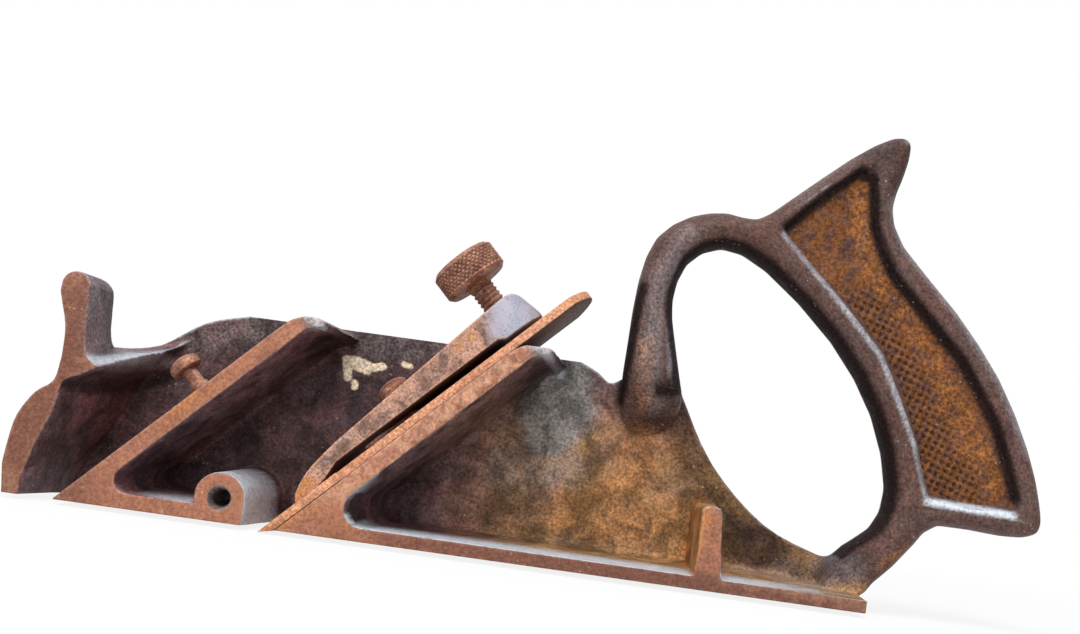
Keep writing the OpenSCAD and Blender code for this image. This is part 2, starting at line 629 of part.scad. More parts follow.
// Countersunk screw, flush with the spur
module spur_screw() {
    tip = side_hole_y + slide_gap;
    top = spur_y + spur_t - slide_gap;
    r = spur_screw_d / 2;
    driver_slot = 0.8;
    color(steel) from_toe() translate([spur_x, 0, spur_z]) difference() {
        rotate([-90, 0, 0]) rotate_extrude()
            polygon([[0, tip], [r, tip], [r, top - spur_head_h + slide_gap], [spur_head_r, top], [0, top]]);
        translate([-spur_head_r, top - driver_slot / 2, -driver_slot / 2]) cube([2 * spur_head_r, driver_slot, driver_slot]);
    }
}

// Depth gauge: a slotted stem with a tongue that runs in the body's groove, and a shoe at its foot
module depth_gauge() {
    tongue_z = groove_z + gauge_travel + free_gap;
    end_r = shoe_w / 2;
    color(rust) from_toe() difference() {
        union() {
            translate([gauge_x - gauge_w / 2, stem_y, shoe_z]) cube([gauge_w, gauge_t, stem_top - shoe_z]);
            translate([gauge_x - gauge_w / 2, right_y - gauge_groove + slide_gap, tongue_z])
                cube([gauge_w, gauge_groove + bite, stem_top - tongue_z]);
            translate([gauge_x, stem_y, shoe_z]) linear_extrude(shoe_t) union() {
                translate([end_r - shoe_l / 2, 0]) square([shoe_l - 2 * end_r, shoe_w]);
                for (side = [-1, 1]) translate([side * (shoe_l / 2 - end_r), end_r]) circle(end_r);
            }
        }
        for (z = [gauge_screw_z, gauge_screw_z + gauge_travel])
            translate([gauge_x, right_y, z]) rotate([90, 0, 0]) cylinder(d = stem_slot_w, h = 4 * gauge_t, center = true);
        translate([gauge_x - stem_slot_w / 2, right_y - gauge_t, gauge_screw_z]) cube([stem_slot_w, 4 * gauge_t, gauge_travel]);
    }
}

// Knurled screw that clamps the gauge's stem
module depth_gauge_screw() {
    tip = side_hole_y + slide_gap;
    head = stem_y + gauge_t + slide_gap;
    top = head + gauge_head_h;
    r = gauge_screw_d / 2;
    head_r = gauge_head_d / 2;
    chamfer = 0.7;
    color(rust) from_toe() translate([gauge_x, 0, gauge_screw_z]) rotate([-90, 0, 0]) rotate_extrude()
        polygon([[0, tip], [r, tip], [r, head], [head_r - chamfer, head], [head_r, head + chamfer],
                 [head_r, top - chamfer], [head_r - chamfer, top], [0, top]]);
}

body_casting();
cutter();
lever_cap();
cap_thumb_screw();
rear_cap_screw();
front_cap_screw();
spur();
spur_screw();
depth_gauge();
depth_gauge_screw();
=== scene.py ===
"""Looks of a duplex rebate plane: worn castings, a rusted cutter, knurled screws and a plain stage."""

import math

import bpy
import numpy as np
from mathutils import Matrix, Vector


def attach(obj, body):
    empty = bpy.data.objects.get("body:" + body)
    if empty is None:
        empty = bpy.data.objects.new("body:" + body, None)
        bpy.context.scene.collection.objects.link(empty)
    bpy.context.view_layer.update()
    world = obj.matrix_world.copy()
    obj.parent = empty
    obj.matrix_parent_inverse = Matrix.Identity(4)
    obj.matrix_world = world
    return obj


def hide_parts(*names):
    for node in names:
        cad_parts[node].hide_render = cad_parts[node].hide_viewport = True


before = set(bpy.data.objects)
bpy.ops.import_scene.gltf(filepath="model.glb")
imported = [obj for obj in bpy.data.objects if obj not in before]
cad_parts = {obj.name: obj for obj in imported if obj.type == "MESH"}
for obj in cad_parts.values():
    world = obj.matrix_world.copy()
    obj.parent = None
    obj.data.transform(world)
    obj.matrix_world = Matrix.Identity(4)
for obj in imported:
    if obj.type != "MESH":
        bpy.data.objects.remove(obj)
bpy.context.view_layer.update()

bl_info = {
    "name": "Duplex Rebate Plane",
    "version": (1, 0, 0),
    "blender": (4, 5, 0),
    "location": "3D View > Sidebar > Rebate Plane",
    "description": "Finishes the solids of a duplex rebate plane and sets them on a pale stage",
    "category": "Object",
}

MM = 0.001
# The frame's origin lies in the middle of the sole, half its length from the toe
HALF_SOLE = 104.0 * MM
# Foot of the front and of the main seat from the toe, and the web's open face, in millimetres
FRONT_BED = 12.3
MAIN_BED = 66.4
WEB_FACE = 14.0
# Most triangles of the two remeshed castings, and the mesh size of the smaller one
BODY_TRIANGLES = 190000
CAP_TRIANGLES = 150000
CAP_GRAIN = 0.32 * MM
# Bevel of the small steel pieces
SMALL_BEVEL = 0.12 * MM
# Direction up both seats and direction off them, at 45 degrees
UP_BED = Vector((math.sqrt(0.5), 0.0, math.sqrt(0.5)))
OFF_BED = Vector((-math.sqrt(0.5), 0.0, math.sqrt(0.5)))


def number(name, description, value, unit="NONE"):
    """A property that holds a number"""
    return bpy.props.FloatProperty(name=name, description=description, default=value, unit=unit)


def size(name, description, millimetres):
    """A property that holds a length"""
    return number(name, description, millimetres * MM, "LENGTH")


def tint(name, description, value):
    """A property that holds a colour"""
    return bpy.props.FloatVectorProperty(name=name, description=description, subtype="COLOR", default=value)


class RebatePlaneSizes(bpy.types.PropertyGroup):
    """Sizes of the fine detail that the solids leave out"""

    casting_grain: size("Casting grain", "Mesh size of the smoothed castings", 0.5)
    edge_bevel: size("Edge bevel", "Width of the worn bevel on steel edges", 0.22)
    dent_pitch: size("Dent pitch", "Distance between two dents in a row of the grip panels", 2.5)
    dent_depth: size("Dent depth", "Depth of the dents of the grip panels", 0.5)
    knurl_pitch: size("Knurl pitch", "Distance between two diamonds of a knurl", 1.45)
    knurl_depth: size("Knurl depth", "Depth of the grooves of a knurl", 0.40)
    thread_pitch: size("Thread pitch", "Pitch of the thumb screw's thread", 1.27)
    thread_depth: size("Thread depth", "Depth of the thumb screw's thread", 0.5)


class RebatePlaneColours(bpy.types.PropertyGroup):
    """Colours of the finishes"""

    japan: tint("Japan", "Old black japan in the pockets", (0.125, 0.076, 0.082))
    # This dark colour is soot on the handle's blots and painted shade elsewhere: it darkens corners, hollows,
    # dents, inner walls and the undersides of ribs
    soot_and_shade: tint("Soot", "Black dirt in corners and on inner walls", (0.014, 0.010, 0.010))
    japan_brown: tint("Brown japan", "Thin japan with rust below", (0.105, 0.054, 0.045))
    iron_grey: tint("Iron grey", "Iron that shows through the japan", (0.205, 0.192, 0.178))
    rust: tint("Rust", "Rust on the machined faces", (0.325, 0.140, 0.088))
    rust_dark: tint("Dark rust", "Old dark rust", (0.185, 0.078, 0.052))
    rust_orange: tint("Orange rust", "Fresh rust", (0.46, 0.180, 0.052))
    rust_pale: tint("Pale rust", "Rubbed rust", (0.56, 0.30, 0.19))
    olive: tint("Olive rust", "Rust under dirt behind the main bed", (0.330, 0.180, 0.075))
    handle_brown: tint("Handle brown", "Brown of the handled iron", (0.108, 0.065, 0.056))
    panel_brown: tint("Panel brown", "Brown of the grip panels", (0.185, 0.070, 0.024))
    # This bluish grey is bare iron and also the painted highlights on upward edges and bright bands of the
    # body
    bare_iron_and_highlight: tint("Bare iron", "Bluish grey of iron rubbed bare", (0.56, 0.59, 0.64))
    # This bluish grey is worn steel and also a painted highlight on the lever cap's head
    worn_blue_and_highlight: tint("Worn blue", "Bluish grey of steel and cap iron rubbed bare", (0.34, 0.375, 0.46))
    burgundy: tint("Burgundy", "Purple tinge of old japan", (0.205, 0.098, 0.104))
    residue: tint("Residue", "Pale flakes left on the web", (0.72, 0.58, 0.42))


class RebatePlaneStage(bpy.types.PropertyGroup):
    """Floor and light"""

    floor: tint("Floor", "Colour of the floor", (0.80, 0.80, 0.80))
    sky: number("Sky", "Strength of the light from all round", 0.36)
    key: number("Key lamp", "Power of the lamp above the plane", 5.2, "POWER")
    fill: number("Fill lamp", "Power of the lamp before the open side", 3.6, "POWER")


# Modelling helpers


def new_object(name, data):
    """A new object in the scene"""
    thing = bpy.data.objects.new(name, data)
    bpy.context.scene.collection.objects.link(thing)
    return thing


def pick_only(piece):
    """Deselects everything else and makes the piece active"""
    bpy.ops.object.select_all(action="DESELECT")
    piece.select_set(True)
    bpy.context.view_layer.objects.active = piece


def face_outward(piece, merge=None):
    """Turns all faces of a piece outward, after merging vertices that lie closer than a distance"""
    pick_only(piece)
    bpy.ops.object.mode_set(mode="EDIT")
    bpy.ops.mesh.select_all(action="SELECT")
    if merge is not None:
        bpy.ops.mesh.remove_doubles(threshold=merge)
    bpy.ops.mesh.normals_make_consistent(inside=False)
    bpy.ops.object.mode_set(mode="OBJECT")


def copy_of_node(node, name):
    """A new piece with the merged mesh of a CAD node"""
    piece = new_object(name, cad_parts[node].data.copy())
    piece.data.name = name
    piece.data.materials.clear()
    face_outward(piece, merge=0.002 * MM)
    return piece


def apply_modifier(piece, kind, **settings):
    """Adds one modifier with its settings and applies it"""
    pick_only(piece)
    modifier = piece.modifiers.new(kind.title(), kind)
    for key, value in settings.items():
        setattr(modifier, key, value)
    bpy.ops.object.modifier_apply(modifier=modifier.name)


def group_vertices(piece, name, chosen):
    """A vertex group of the chosen vertices, at full weight"""
    group = piece.vertex_groups.new(name=name)
    group.add([int(i) for i in np.flatnonzero(chosen)], 1.0, "REPLACE")


def soften_casting(piece, node, grain, most_triangles, soft=(), kept=None):
    """Turns the sharp solid of a casting into an even skin that lies on it and has rounded edges"""
    apply_modifier(piece, "REMESH", mode="VOXEL", voxel_size=grain)
    apply_modifier(piece, "SMOOTH", factor=0.5, iterations=4)
    apply_modifier(piece, "SHRINKWRAP", target=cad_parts[node], wrap_method="NEAREST_SURFACEPOINT")
    apply_modifier(piece, "SMOOTH", factor=0.5, iterations=2)
    for choose, rounds in soft:
        group_vertices(piece, choose.__name__, choose(coordinates(piece.data)[0]))
        apply_modifier(piece, "SMOOTH", factor=0.5, iterations=rounds, vertex_group=choose.__name__)
    triangles = 2 * len(piece.data.polygons)
    if triangles > most_triangles:
        place, normal = coordinates(piece.data)
        spare = np.ones(len(place)) if kept is None else ~kept(place, normal)
        group_vertices(piece, "spare", spare)
        apply_modifier(piece, "DECIMATE", decimate_type="COLLAPSE", ratio=most_triangles / triangles,
                       vertex_group="spare")
    pick_only(piece)
    bpy.ops.object.shade_smooth()


def bevel_edges(piece, width):
    """Gives a steel piece small worn bevels"""
    apply_modifier(piece, "DECIMATE", decimate_type="DISSOLVE", angle_limit=math.radians(0.5))
    apply_modifier(piece, "BEVEL", width=width, segments=2, limit_method="ANGLE",
                   angle_limit=math.radians(38))
    pick_only(piece)
    bpy.ops.object.shade_smooth_by_angle(angle=math.radians(35))


def coordinates(mesh):
    """Vertex positions and normals of a mesh as arrays"""
    count = len(mesh.vertices)
    place = np.zeros(count * 3)
    normal = np.zeros(count * 3)
    mesh.vertices.foreach_get("co", place)
    mesh.vertices.foreach_get("normal", normal)
    return place.reshape(-1, 3), normal.reshape(-1, 3)


def side_view(place):
    """Distances from the toe, from the middle plane and from the sole, in millimetres"""
    return (place[:, 0] + HALF_SOLE) / MM, place[:, 1] / MM, place[:, 2] / MM


def move_vertices(piece, place):
    """Moves the vertices of a piece to new places"""
    piece.data.vertices.foreach_set("co", place.ravel())
    piece.data.update()


def write_mask(mesh, name, values):
    """Stores one number for each vertex under a name that materials read"""
    mask = mesh.attributes.new(name, "FLOAT", "POINT")
    mask.data.foreach_set("value", np.clip(values, 0.0, 1.0).astype(np.float32))


def add_over_edges(values, pairs, first, second):
    """Vertex values with a value added for the first and for the second end of each edge"""
    np.add.at(values, pairs[:, 0], first)
    np.add.at(values, pairs[:, 1], second)
    return values


def smooth_over_edges(values, pairs, rounds):
    """Averages vertex values with their neighbours"""
    count = add_over_edges(np.ones(len(values)), pairs, 1.0, 1.0)
    for _ in range(rounds):
        values = add_over_edges(values.copy(), pairs, values[pairs[:, 1]], values[pairs[:, 0]]) / count
    return values


def mark_curvature(piece):
    """Masks of rubbed edges and of hollows for painted shade, from how far the skin bends at each vertex"""
    mesh = piece.data
    place, normal = coordinates(mesh)
    pairs = np.zeros(len(mesh.edges) * 2, dtype=np.int64)
    mesh.edges.foreach_get("vertices", pairs)
    pairs = pairs.reshape(-1, 2)
    span = place[pairs[:, 1]] - place[pairs[:, 0]]
    length = np.linalg.norm(span, axis=1) + 1e-9
    bend_a = np.einsum("ij,ij->i", normal[pairs[:, 0]], span) / length ** 2
    bend_b = -np.einsum("ij,ij->i", normal[pairs[:, 1]], span) / length ** 2
    bend = add_over_edges(np.zeros(len(place)), pairs, bend_a, bend_b)
    count = add_over_edges(np.zeros(len(place)) + 1e-9, pairs, 1.0, 1.0)
    # Half the curvature per millimetre: below zero on edges, above it in hollows
    bend = smooth_over_edges(bend / count, pairs, 2) * MM
    write_mask(mesh, "rubbed", (-bend - 0.06) * 3.2)
    # Hollows are masked so that the finishes darken them as painted shade
    hollow = smooth_over_edges(np.clip(bend * 2.2, 0.0, 1.0), pairs, 4)
    write_mask(mesh, "hollow", hollow * 1.4)


def smooth_step(values, low, high):
    """Rises smoothly from 0 at low to 1 at high"""
    share = np.clip((values - low) / (high - low), 0.0, 1.0)
    return share * share * (3.0 - 2.0 * share)


def inside_outline(x, z, outline):
    """Which of the points lie inside a closed outline"""
    inside = np.zeros(len(x), dtype=bool)
    for (x0, z0), (x1, z1) in zip(outline, outline[1:] + outline[:1]):
        crosses = (z0 > z) != (z1 > z)
        with np.errstate(divide="ignore", invalid="ignore"):
            left = x < (x1 - x0) * (z - z0) / (z1 - z0) + x0
        inside ^= crosses & left
    return inside


# Material helpers


def put(tree, kind, settings=None, inputs=None):
    """Adds a shader node, with its settings and with values or links on its inputs"""
    node = tree.nodes.new("ShaderNode" + kind)
    for key, value in (settings or {}).items():
        setattr(node, key, value)
    feed(tree, node, inputs or {})
    return node


def feed(tree, node, inputs):
    """Links inputs of a node, or sets their values"""
    for key, value in inputs.items():
        socket = node.inputs[key]
        if isinstance(value, bpy.types.NodeSocket):
            tree.links.new(value, socket)
        elif socket.type == "RGBA":
            socket.default_value = (*value[:3], 1.0)
        else:
            socket.default_value = value


def mixed(tree, share, first, second, blend="MIX"):
    """A blend of two colours"""
    settings = {"data_type": "RGBA", "blend_type": blend}
    return put(tree, "Mix", settings, {0: share, 6: first, 7: second}).outputs[2]


def blended(tree, share, first, second):
    """A blend of two shaders"""
    inputs = {0: share, 1: first.outputs[0], 2: second.outputs[0]}
    return put(tree, "MixShader", None, inputs).outputs[0]


def math_of(tree, operation, first, second, clamp=False):
    """One sum on two values"""
    settings = {"operation": operation, "use_clamp": clamp}
    return put(tree, "Math", settings, {0: first, 1: second}).outputs[0]


def times(tree, first, second, clamp=False):
    """The product of two values"""
    return math_of(tree, "MULTIPLY", first, second, clamp)


def plus(tree, first, second):
    """The sum of two values"""
    return math_of(tree, "ADD", first, second)


def larger(tree, first, second):
    """The larger of two values"""
    return math_of(tree, "MAXIMUM", first, second)


def rest_of(tree, share):
    """What a share leaves of one"""
    return math_of(tree, "SUBTRACT", 1.0, share)


def ranged(tree, value, low, high, to_low=0.0, to_high=1.0):
    """A value moved smoothly from one range to another"""
    inputs = {"Value": value, "From Min": low, "From Max": high, "To Min": to_low, "To Max": to_high}
    return put(tree, "MapRange", {"interpolation_type": "SMOOTHSTEP"}, inputs).outputs[0]


def within(tree, *ranges):
    """The product of several values, each moved smoothly from a range of its own"""
    product = ranged(tree, *ranges[0])
    for values in ranges[1:]:
        product = times(tree, product, ranged(tree, *values))
    return product


def noise(tree, place, scale, detail, roughness, distortion=0.0):
    """Cloudy noise at a scale in features per metre"""
    inputs = {"Vector": place, "Scale": scale, "Detail": detail, "Roughness": roughness,
              "Distortion": distortion}
    return put(tree, "TexNoise", None, inputs).outputs["Fac"]


def mask_of(tree, name):
    """A vertex mask that a piece carries"""
    return put(tree, "Attribute", {"attribute_name": name}).outputs["Fac"]


def new_group(name, inputs, outputs):
    """An empty shader group with named sockets, each for a number or a colour"""
    tree = bpy.data.node_groups.new(name, "ShaderNodeTree")
    for label, value in inputs.items():
        plain = isinstance(value, float)
        kind = "NodeSocketFloat" if plain else "NodeSocketColor"
        socket = tree.interface.new_socket(name=label, in_out="INPUT", socket_type=kind)
        socket.default_value = value if plain else (*value, 1.0)
    for label in outputs:
        kind = "NodeSocketColor" if label == "Color" else "NodeSocketFloat"
        tree.interface.new_socket(name=label, in_out="OUTPUT", socket_type=kind)
    return tree, tree.nodes.new("NodeGroupInput"), tree.nodes.new("NodeGroupOutput")


def rust_group():
    """Mottled rust: three colours in clouds and grains, with a height for its crust"""
    colours = bpy.context.scene.rebate_plane_colours
    tree, given, result = new_group(
        "Rust Mottle",
        {"Patch Size": 90.0, "Grain Size": 900.0, "Base": colours.rust, "Dark": colours.rust_dark,
         "Bright": colours.rust_orange, "Bright Share": 0.5},
        ("Color", "Height", "Grain"))
    place = own_place(tree)
    clouds = noise(tree, place, given.outputs["Patch Size"], 5.0, 0.62, 0.6)
    shifted = put(tree, "Mapping", None, {"Vector": place, "Location": (0.31, 0.17, 0.53)})
    patches = noise(tree, shifted.outputs[0], given.outputs["Patch Size"], 3.0, 0.7, 1.2)
    grain = noise(tree, place, given.outputs["Grain Size"], 3.0, 0.65)
    dark = mixed(tree, ranged(tree, clouds, 0.36, 0.58), given.outputs["Dark"], given.outputs["Base"])
    share = times(tree, ranged(tree, patches, 0.52, 0.74), given.outputs["Bright Share"])
    bright = mixed(tree, share, dark, given.outputs["Bright"])
    speckle = mixed(tree, ranged(tree, grain, 0.3, 0.7, 0.0, 0.32), bright, (0.62, 0.58, 0.55), "OVERLAY")
    height = plus(tree, times(tree, grain, 0.5), clouds)
    feed(tree, result, {"Color": speckle, "Height": height, "Grain": grain})
    return tree


def pits_group():
    """Small round pits, scattered where a cloud lets them"""
    tree, given, result = new_group("Pits", {"Size": 900.0, "Spread": 0.5}, ("Mask", "Height"))
    place = own_place(tree)
    cells = put(tree, "TexVoronoi", None, {"Vector": place, "Scale": given.outputs["Size"]})
    cloud = noise(tree, place, 160.0, 3.0, 0.6)
    round_pit = ranged(tree, cells.outputs["Distance"], 0.16, 0.34, 1.0, 0.0)
    scatter = math_of(tree, "LESS_THAN", cloud, given.outputs["Spread"])
    mask = times(tree, round_pit, scatter)
    feed(tree, result, {"Mask": mask, "Height": times(tree, mask, -1.0)})
    return tree


def rubbed_group():
    """Edges rubbed bare, broken up by a cloud, from the piece's own mask"""
    tree, given, result = new_group("Rubbed Edges", {"Amount": 1.0, "Break Up": 420.0}, ("Mask",))
    place = own_place(tree)
    cloud = noise(tree, place, given.outputs["Break Up"], 4.0, 0.65)
    edge = mask_of(tree, "rubbed")
    level = times(tree, edge, given.outputs["Amount"])
    level = plus(tree, level, math_of(tree, "SUBTRACT", cloud, 0.62))
    feed(tree, result, {"Mask": ranged(tree, level, 0.08, 0.5)})
    return tree


def dust_group():
    """Pale specks, scattered where a cloud lets them"""
    tree, given, result = new_group("Dust", {"Amount": 0.5, "Speck Size": 700.0}, ("Mask",))
    place = own_place(tree)
    cells = put(tree, "TexVoronoi", None, {"Vector": place, "Scale": given.outputs["Speck Size"]})
    speck = ranged(tree, cells.outputs["Distance"], 0.05, 0.17, 1.0, 0.0)
    cloud = ranged(tree, noise(tree, place, 70.0, 3.0, 0.6), 0.45, 0.65)
    mask = times(tree, times(tree, speck, cloud), given.outputs["Amount"])
    feed(tree, result, {"Mask": mask})
    return tree


def group_of(tree, name, builder, **values):
    """Places a shared group, built on first use"""
    group = bpy.data.node_groups.get(name) or builder()
    inputs = {label.replace("_", " "): value for label, value in values.items()}
    return put(tree, "Group", {"node_tree": group}, inputs)


def start_material(name, viewport_colour):
    """An empty node material with its Principled shader"""
    material = bpy.data.materials.new(name)
    material.use_nodes = True
    material.diffuse_color = (*viewport_colour, 1.0)
    tree = material.node_tree
    return material, tree, tree.nodes["Principled BSDF"]


def bump(tree, shader, height, strength):
    """Feeds a height in millimetres to the shader's normal"""
    node = put(tree, "Bump", None, {"Height": height, "Distance": 1.0 * MM, "Strength": strength})
    feed(tree, shader, {"Normal": node.outputs["Normal"]})


def own_place(tree):
    """Where a point lies in its piece"""
    return put(tree, "TexCoord").outputs["Object"]


def axis_of(tree, place):
    """The three parts of a position or direction"""
    return put(tree, "SeparateXYZ", None, {"Vector": place}).outputs


def worn_patch(tree, name, breaker, edge=0.28, width=0.5):
    """A painted mask with its border broken up by a noise"""
    mask = mask_of(tree, name)
    level = plus(tree, mask, times(tree, math_of(tree, "SUBTRACT", breaker, 0.5), 1.5))
    return times(tree, ranged(tree, level, edge, edge + width), ranged(tree, mask, 0.02, 0.3))


def casting_finish():
    """The body: old japan in the pockets, rust on the machined faces, brown handle with checkered panels,
    painted shade in hollows and painted highlights on edges
    """
    c = bpy.context.scene.rebate_plane_colours
    material, tree, shader = start_material("japanned_casting", c.japan)
    place = own_place(tree)
    x, y, z = axis_of(tree, place)
    facing = axis_of(tree, put(tree, "NewGeometry").outputs["Normal"])
    clouds = noise(tree, place, 55.0, 5.0, 0.62, 0.8)
    fine = noise(tree, place, 330.0, 5.0, 0.65, 0.3)
    grit = noise(tree, place, 1300.0, 3.0, 0.7)
    blots = noise(tree, place, 130.0, 5.0, 0.62, 0.6)
    speckle = plus(tree, times(tree, fine, 0.5), times(tree, grit, 0.5))
    rust = group_of(tree, "Rust Mottle", rust_group, Patch_Size=85.0, Grain_Size=1100.0, Base=c.rust,
                    Dark=(0.250, 0.106, 0.066), Bright=c.rust_orange, Bright_Share=0.3)
    rubbed = group_of(tree, "Rubbed Edges", rubbed_group, Amount=0.95, Break_Up=260.0).outputs["Mask"]
    pits = group_of(tree, "Pits", pits_group, Size=800.0, Spread=0.5)
    dust = group_of(tree, "Dust", dust_group, Amount=0.8, Speck_Size=520.0).outputs["Mask"]

    # Japan in the pockets, brown and burgundy where it is thin, with olive rust behind the main bed
    japan = mixed(tree, ranged(tree, clouds, 0.40, 0.66), c.japan, c.burgundy)
    japan = mixed(tree, times(tree, ranged(tree, fine, 0.46, 0.68), 0.7), japan, c.japan_brown)
    olive = within(tree, (x, -0.014, 0.030), (z, 0.052, 0.024), (clouds, 0.30, 0.60, 0.35, 1.0))
    japan = mixed(tree, olive, japan, c.olive)
    # Faces that look to the open side, from 88 mm from the toe forward, darken halfway to the soot colour
    web = within(tree, (facing[1], -0.7, -0.95), (x, 0.0, -0.016, 0.0, 0.5))
    japan = mixed(tree, web, japan, c.soot_and_shade)
    greyed = worn_patch(tree, "greyed", speckle, 0.1, 0.9)
    japan = mixed(tree, times(tree, greyed, 0.9), japan, c.iron_grey)

    # Handle
    grip = mask_of(tree, "grip")
    handle = mixed(tree, ranged(tree, clouds, 0.36, 0.62), c.japan_brown, c.handle_brown)
    handle = mixed(tree, times(tree, ranged(tree, fine, 0.5, 0.72), 0.25), handle, c.rust)
    handle = mixed(tree, ranged(tree, blots, 0.55, 0.70, 0.0, 0.6), handle, c.soot_and_shade)
    panel = mask_of(tree, "panel")
    panel_colour = mixed(tree, ranged(tree, fine, 0.30, 0.6), c.japan_brown, c.panel_brown)
    handle = mixed(tree, panel, handle, panel_colour)
    paint = mixed(tree, grip, japan, handle)

    # Wear and light that are painted on by place: fresh rust, iron rubbed bare with painted highlights, soot
    # with painted shade in the hollows, pale residue
    rusty = worn_patch(tree, "rusty", speckle, 0.2, 0.8)
    paint = mixed(tree, times(tree, rusty, 0.55), paint, c.rust_orange)
    patchy = rest_of(tree, times(tree, grip, 0.6))
    paint = mixed(tree, patchy, paint, ranged(tree, blots, 0.32, 0.68, 0.45, 1.45), "MULTIPLY")
    # Painted shade: the soot mask, which mostly stands for shade under ribs, on inner walls and along edges,
    # and the hollows darken the paint
    soot_and_shade = larger(tree, mask_of(tree, "soot_and_shade"), times(tree, mask_of(tree, "hollow"), 0.35))
    paint = mixed(tree, times(tree, soot_and_shade, 0.95), paint, c.soot_and_shade)
    # Painted highlights: bare iron on the silver strokes and on rubbed edges, stronger on edges that face up
    bare_and_highlight = mask_of(tree, "bare_and_highlight")
    bare_and_highlight = times(tree, bare_and_highlight, ranged(tree, speckle, 0.3, 0.65, 0.55, 1.25), True)
    upward = ranged(tree, facing[2], -0.2, 0.6, 0.1, 1.0)
    edges = times(tree, times(tree, rubbed, upward), 0.4)
    bright = times(tree, larger(tree, bare_and_highlight, edges), rest_of(tree, soot_and_shade))
    paint = mixed(tree, bright, paint, c.bare_iron_and_highlight)
    pale = worn_patch(tree, "pale", fine, 0.3)
    paint = mixed(tree, pale, paint, c.residue)

    # Machined faces: open side, sole, flat right side and the seats
    bare = within(tree, (y, -0.0184, -0.0187), (facing[1], -0.55, -0.85))
    bare = times(tree, bare, rest_of(tree, times(tree, greyed, 0.8)))
    sole = within(tree, (z, 0.0005, 0.0002), (facing[2], -0.55, -0.85))
    right = within(tree, (y, 0.0174, 0.0178), (facing[1], 0.55, 0.85))
    bare = larger(tree, larger(tree, bare, sole), larger(tree, right, mask_of(tree, "seat")))
    toe = ranged(tree, x, -0.078, -0.090)
    flange = within(tree, (z, 0.0055, 0.0030), (x, -0.030, 0.0, 0.0, 0.95))
    face = mixed(tree, larger(tree, toe, flange), rust.outputs["Color"], c.rust_dark)
    heel = times(tree, flange, ranged(tree, x, 0.0, 0.06, 0.0, 0.3))
    face = mixed(tree, heel, face, c.japan_brown)
    bed = within(tree, (z, 0.006, 0.012), (x, -0.046, -0.030), (y, -0.017, -0.018), (x, 0.030, 0.020),
                 (fine, 0.35, 0.65, 0.0, 0.85))
    face = mixed(tree, bed, face, c.rust_pale)
    face = mixed(tree, times(tree, rusty, 0.7), face, c.rust_orange)
    face = mixed(tree, times(tree, rubbed, 0.22), face, c.rust_pale)
    colour = mixed(tree, bare, paint, face)
    colour = mixed(tree, dust, colour, (0.42, 0.34, 0.29))
    even = larger(tree, bright, times(tree, bare, 0.4))
    gritty = mixed(tree, even, ranged(tree, grit, 0.3, 0.7, 0.52, 1.40), (1.0, 1.0, 1.0))
    colour = mixed(tree, 1.0, colour, gritty, "MULTIPLY")

    # Painted shade in the dents of the panels
    colour = mixed(tree, times(tree, mask_of(tree, "dents"), 0.8), colour, c.soot_and_shade)

    matt = larger(tree, bare, times(tree, panel, 0.8))
    rough = put(tree, "Mix", {"data_type": "FLOAT"},
                {0: matt, 2: ranged(tree, fine, 0.3, 0.7, 0.42, 0.62), 3: 0.78}).outputs[0]
    metal = times(tree, bright, math_of(tree, "SUBTRACT", 0.2, times(tree, bare, 0.2)))
    dull = larger(tree, soot_and_shade, times(tree, panel, 0.6))
    sheen = times(tree, rest_of(tree, dull), 0.10)
    feed(tree, shader, {"Base Color": colour, "Roughness": rough, "Metallic": metal,
                        "Specular IOR Level": sheen})
    skin = plus(tree, times(tree, fine, 0.36), times(tree, grit, 0.16))
    skin = plus(tree, skin, times(tree, pits.outputs["Height"], 0.10))
    skin = plus(tree, skin, times(tree, pale, 0.25))
    bump(tree, shader, skin, 0.85)
    return material


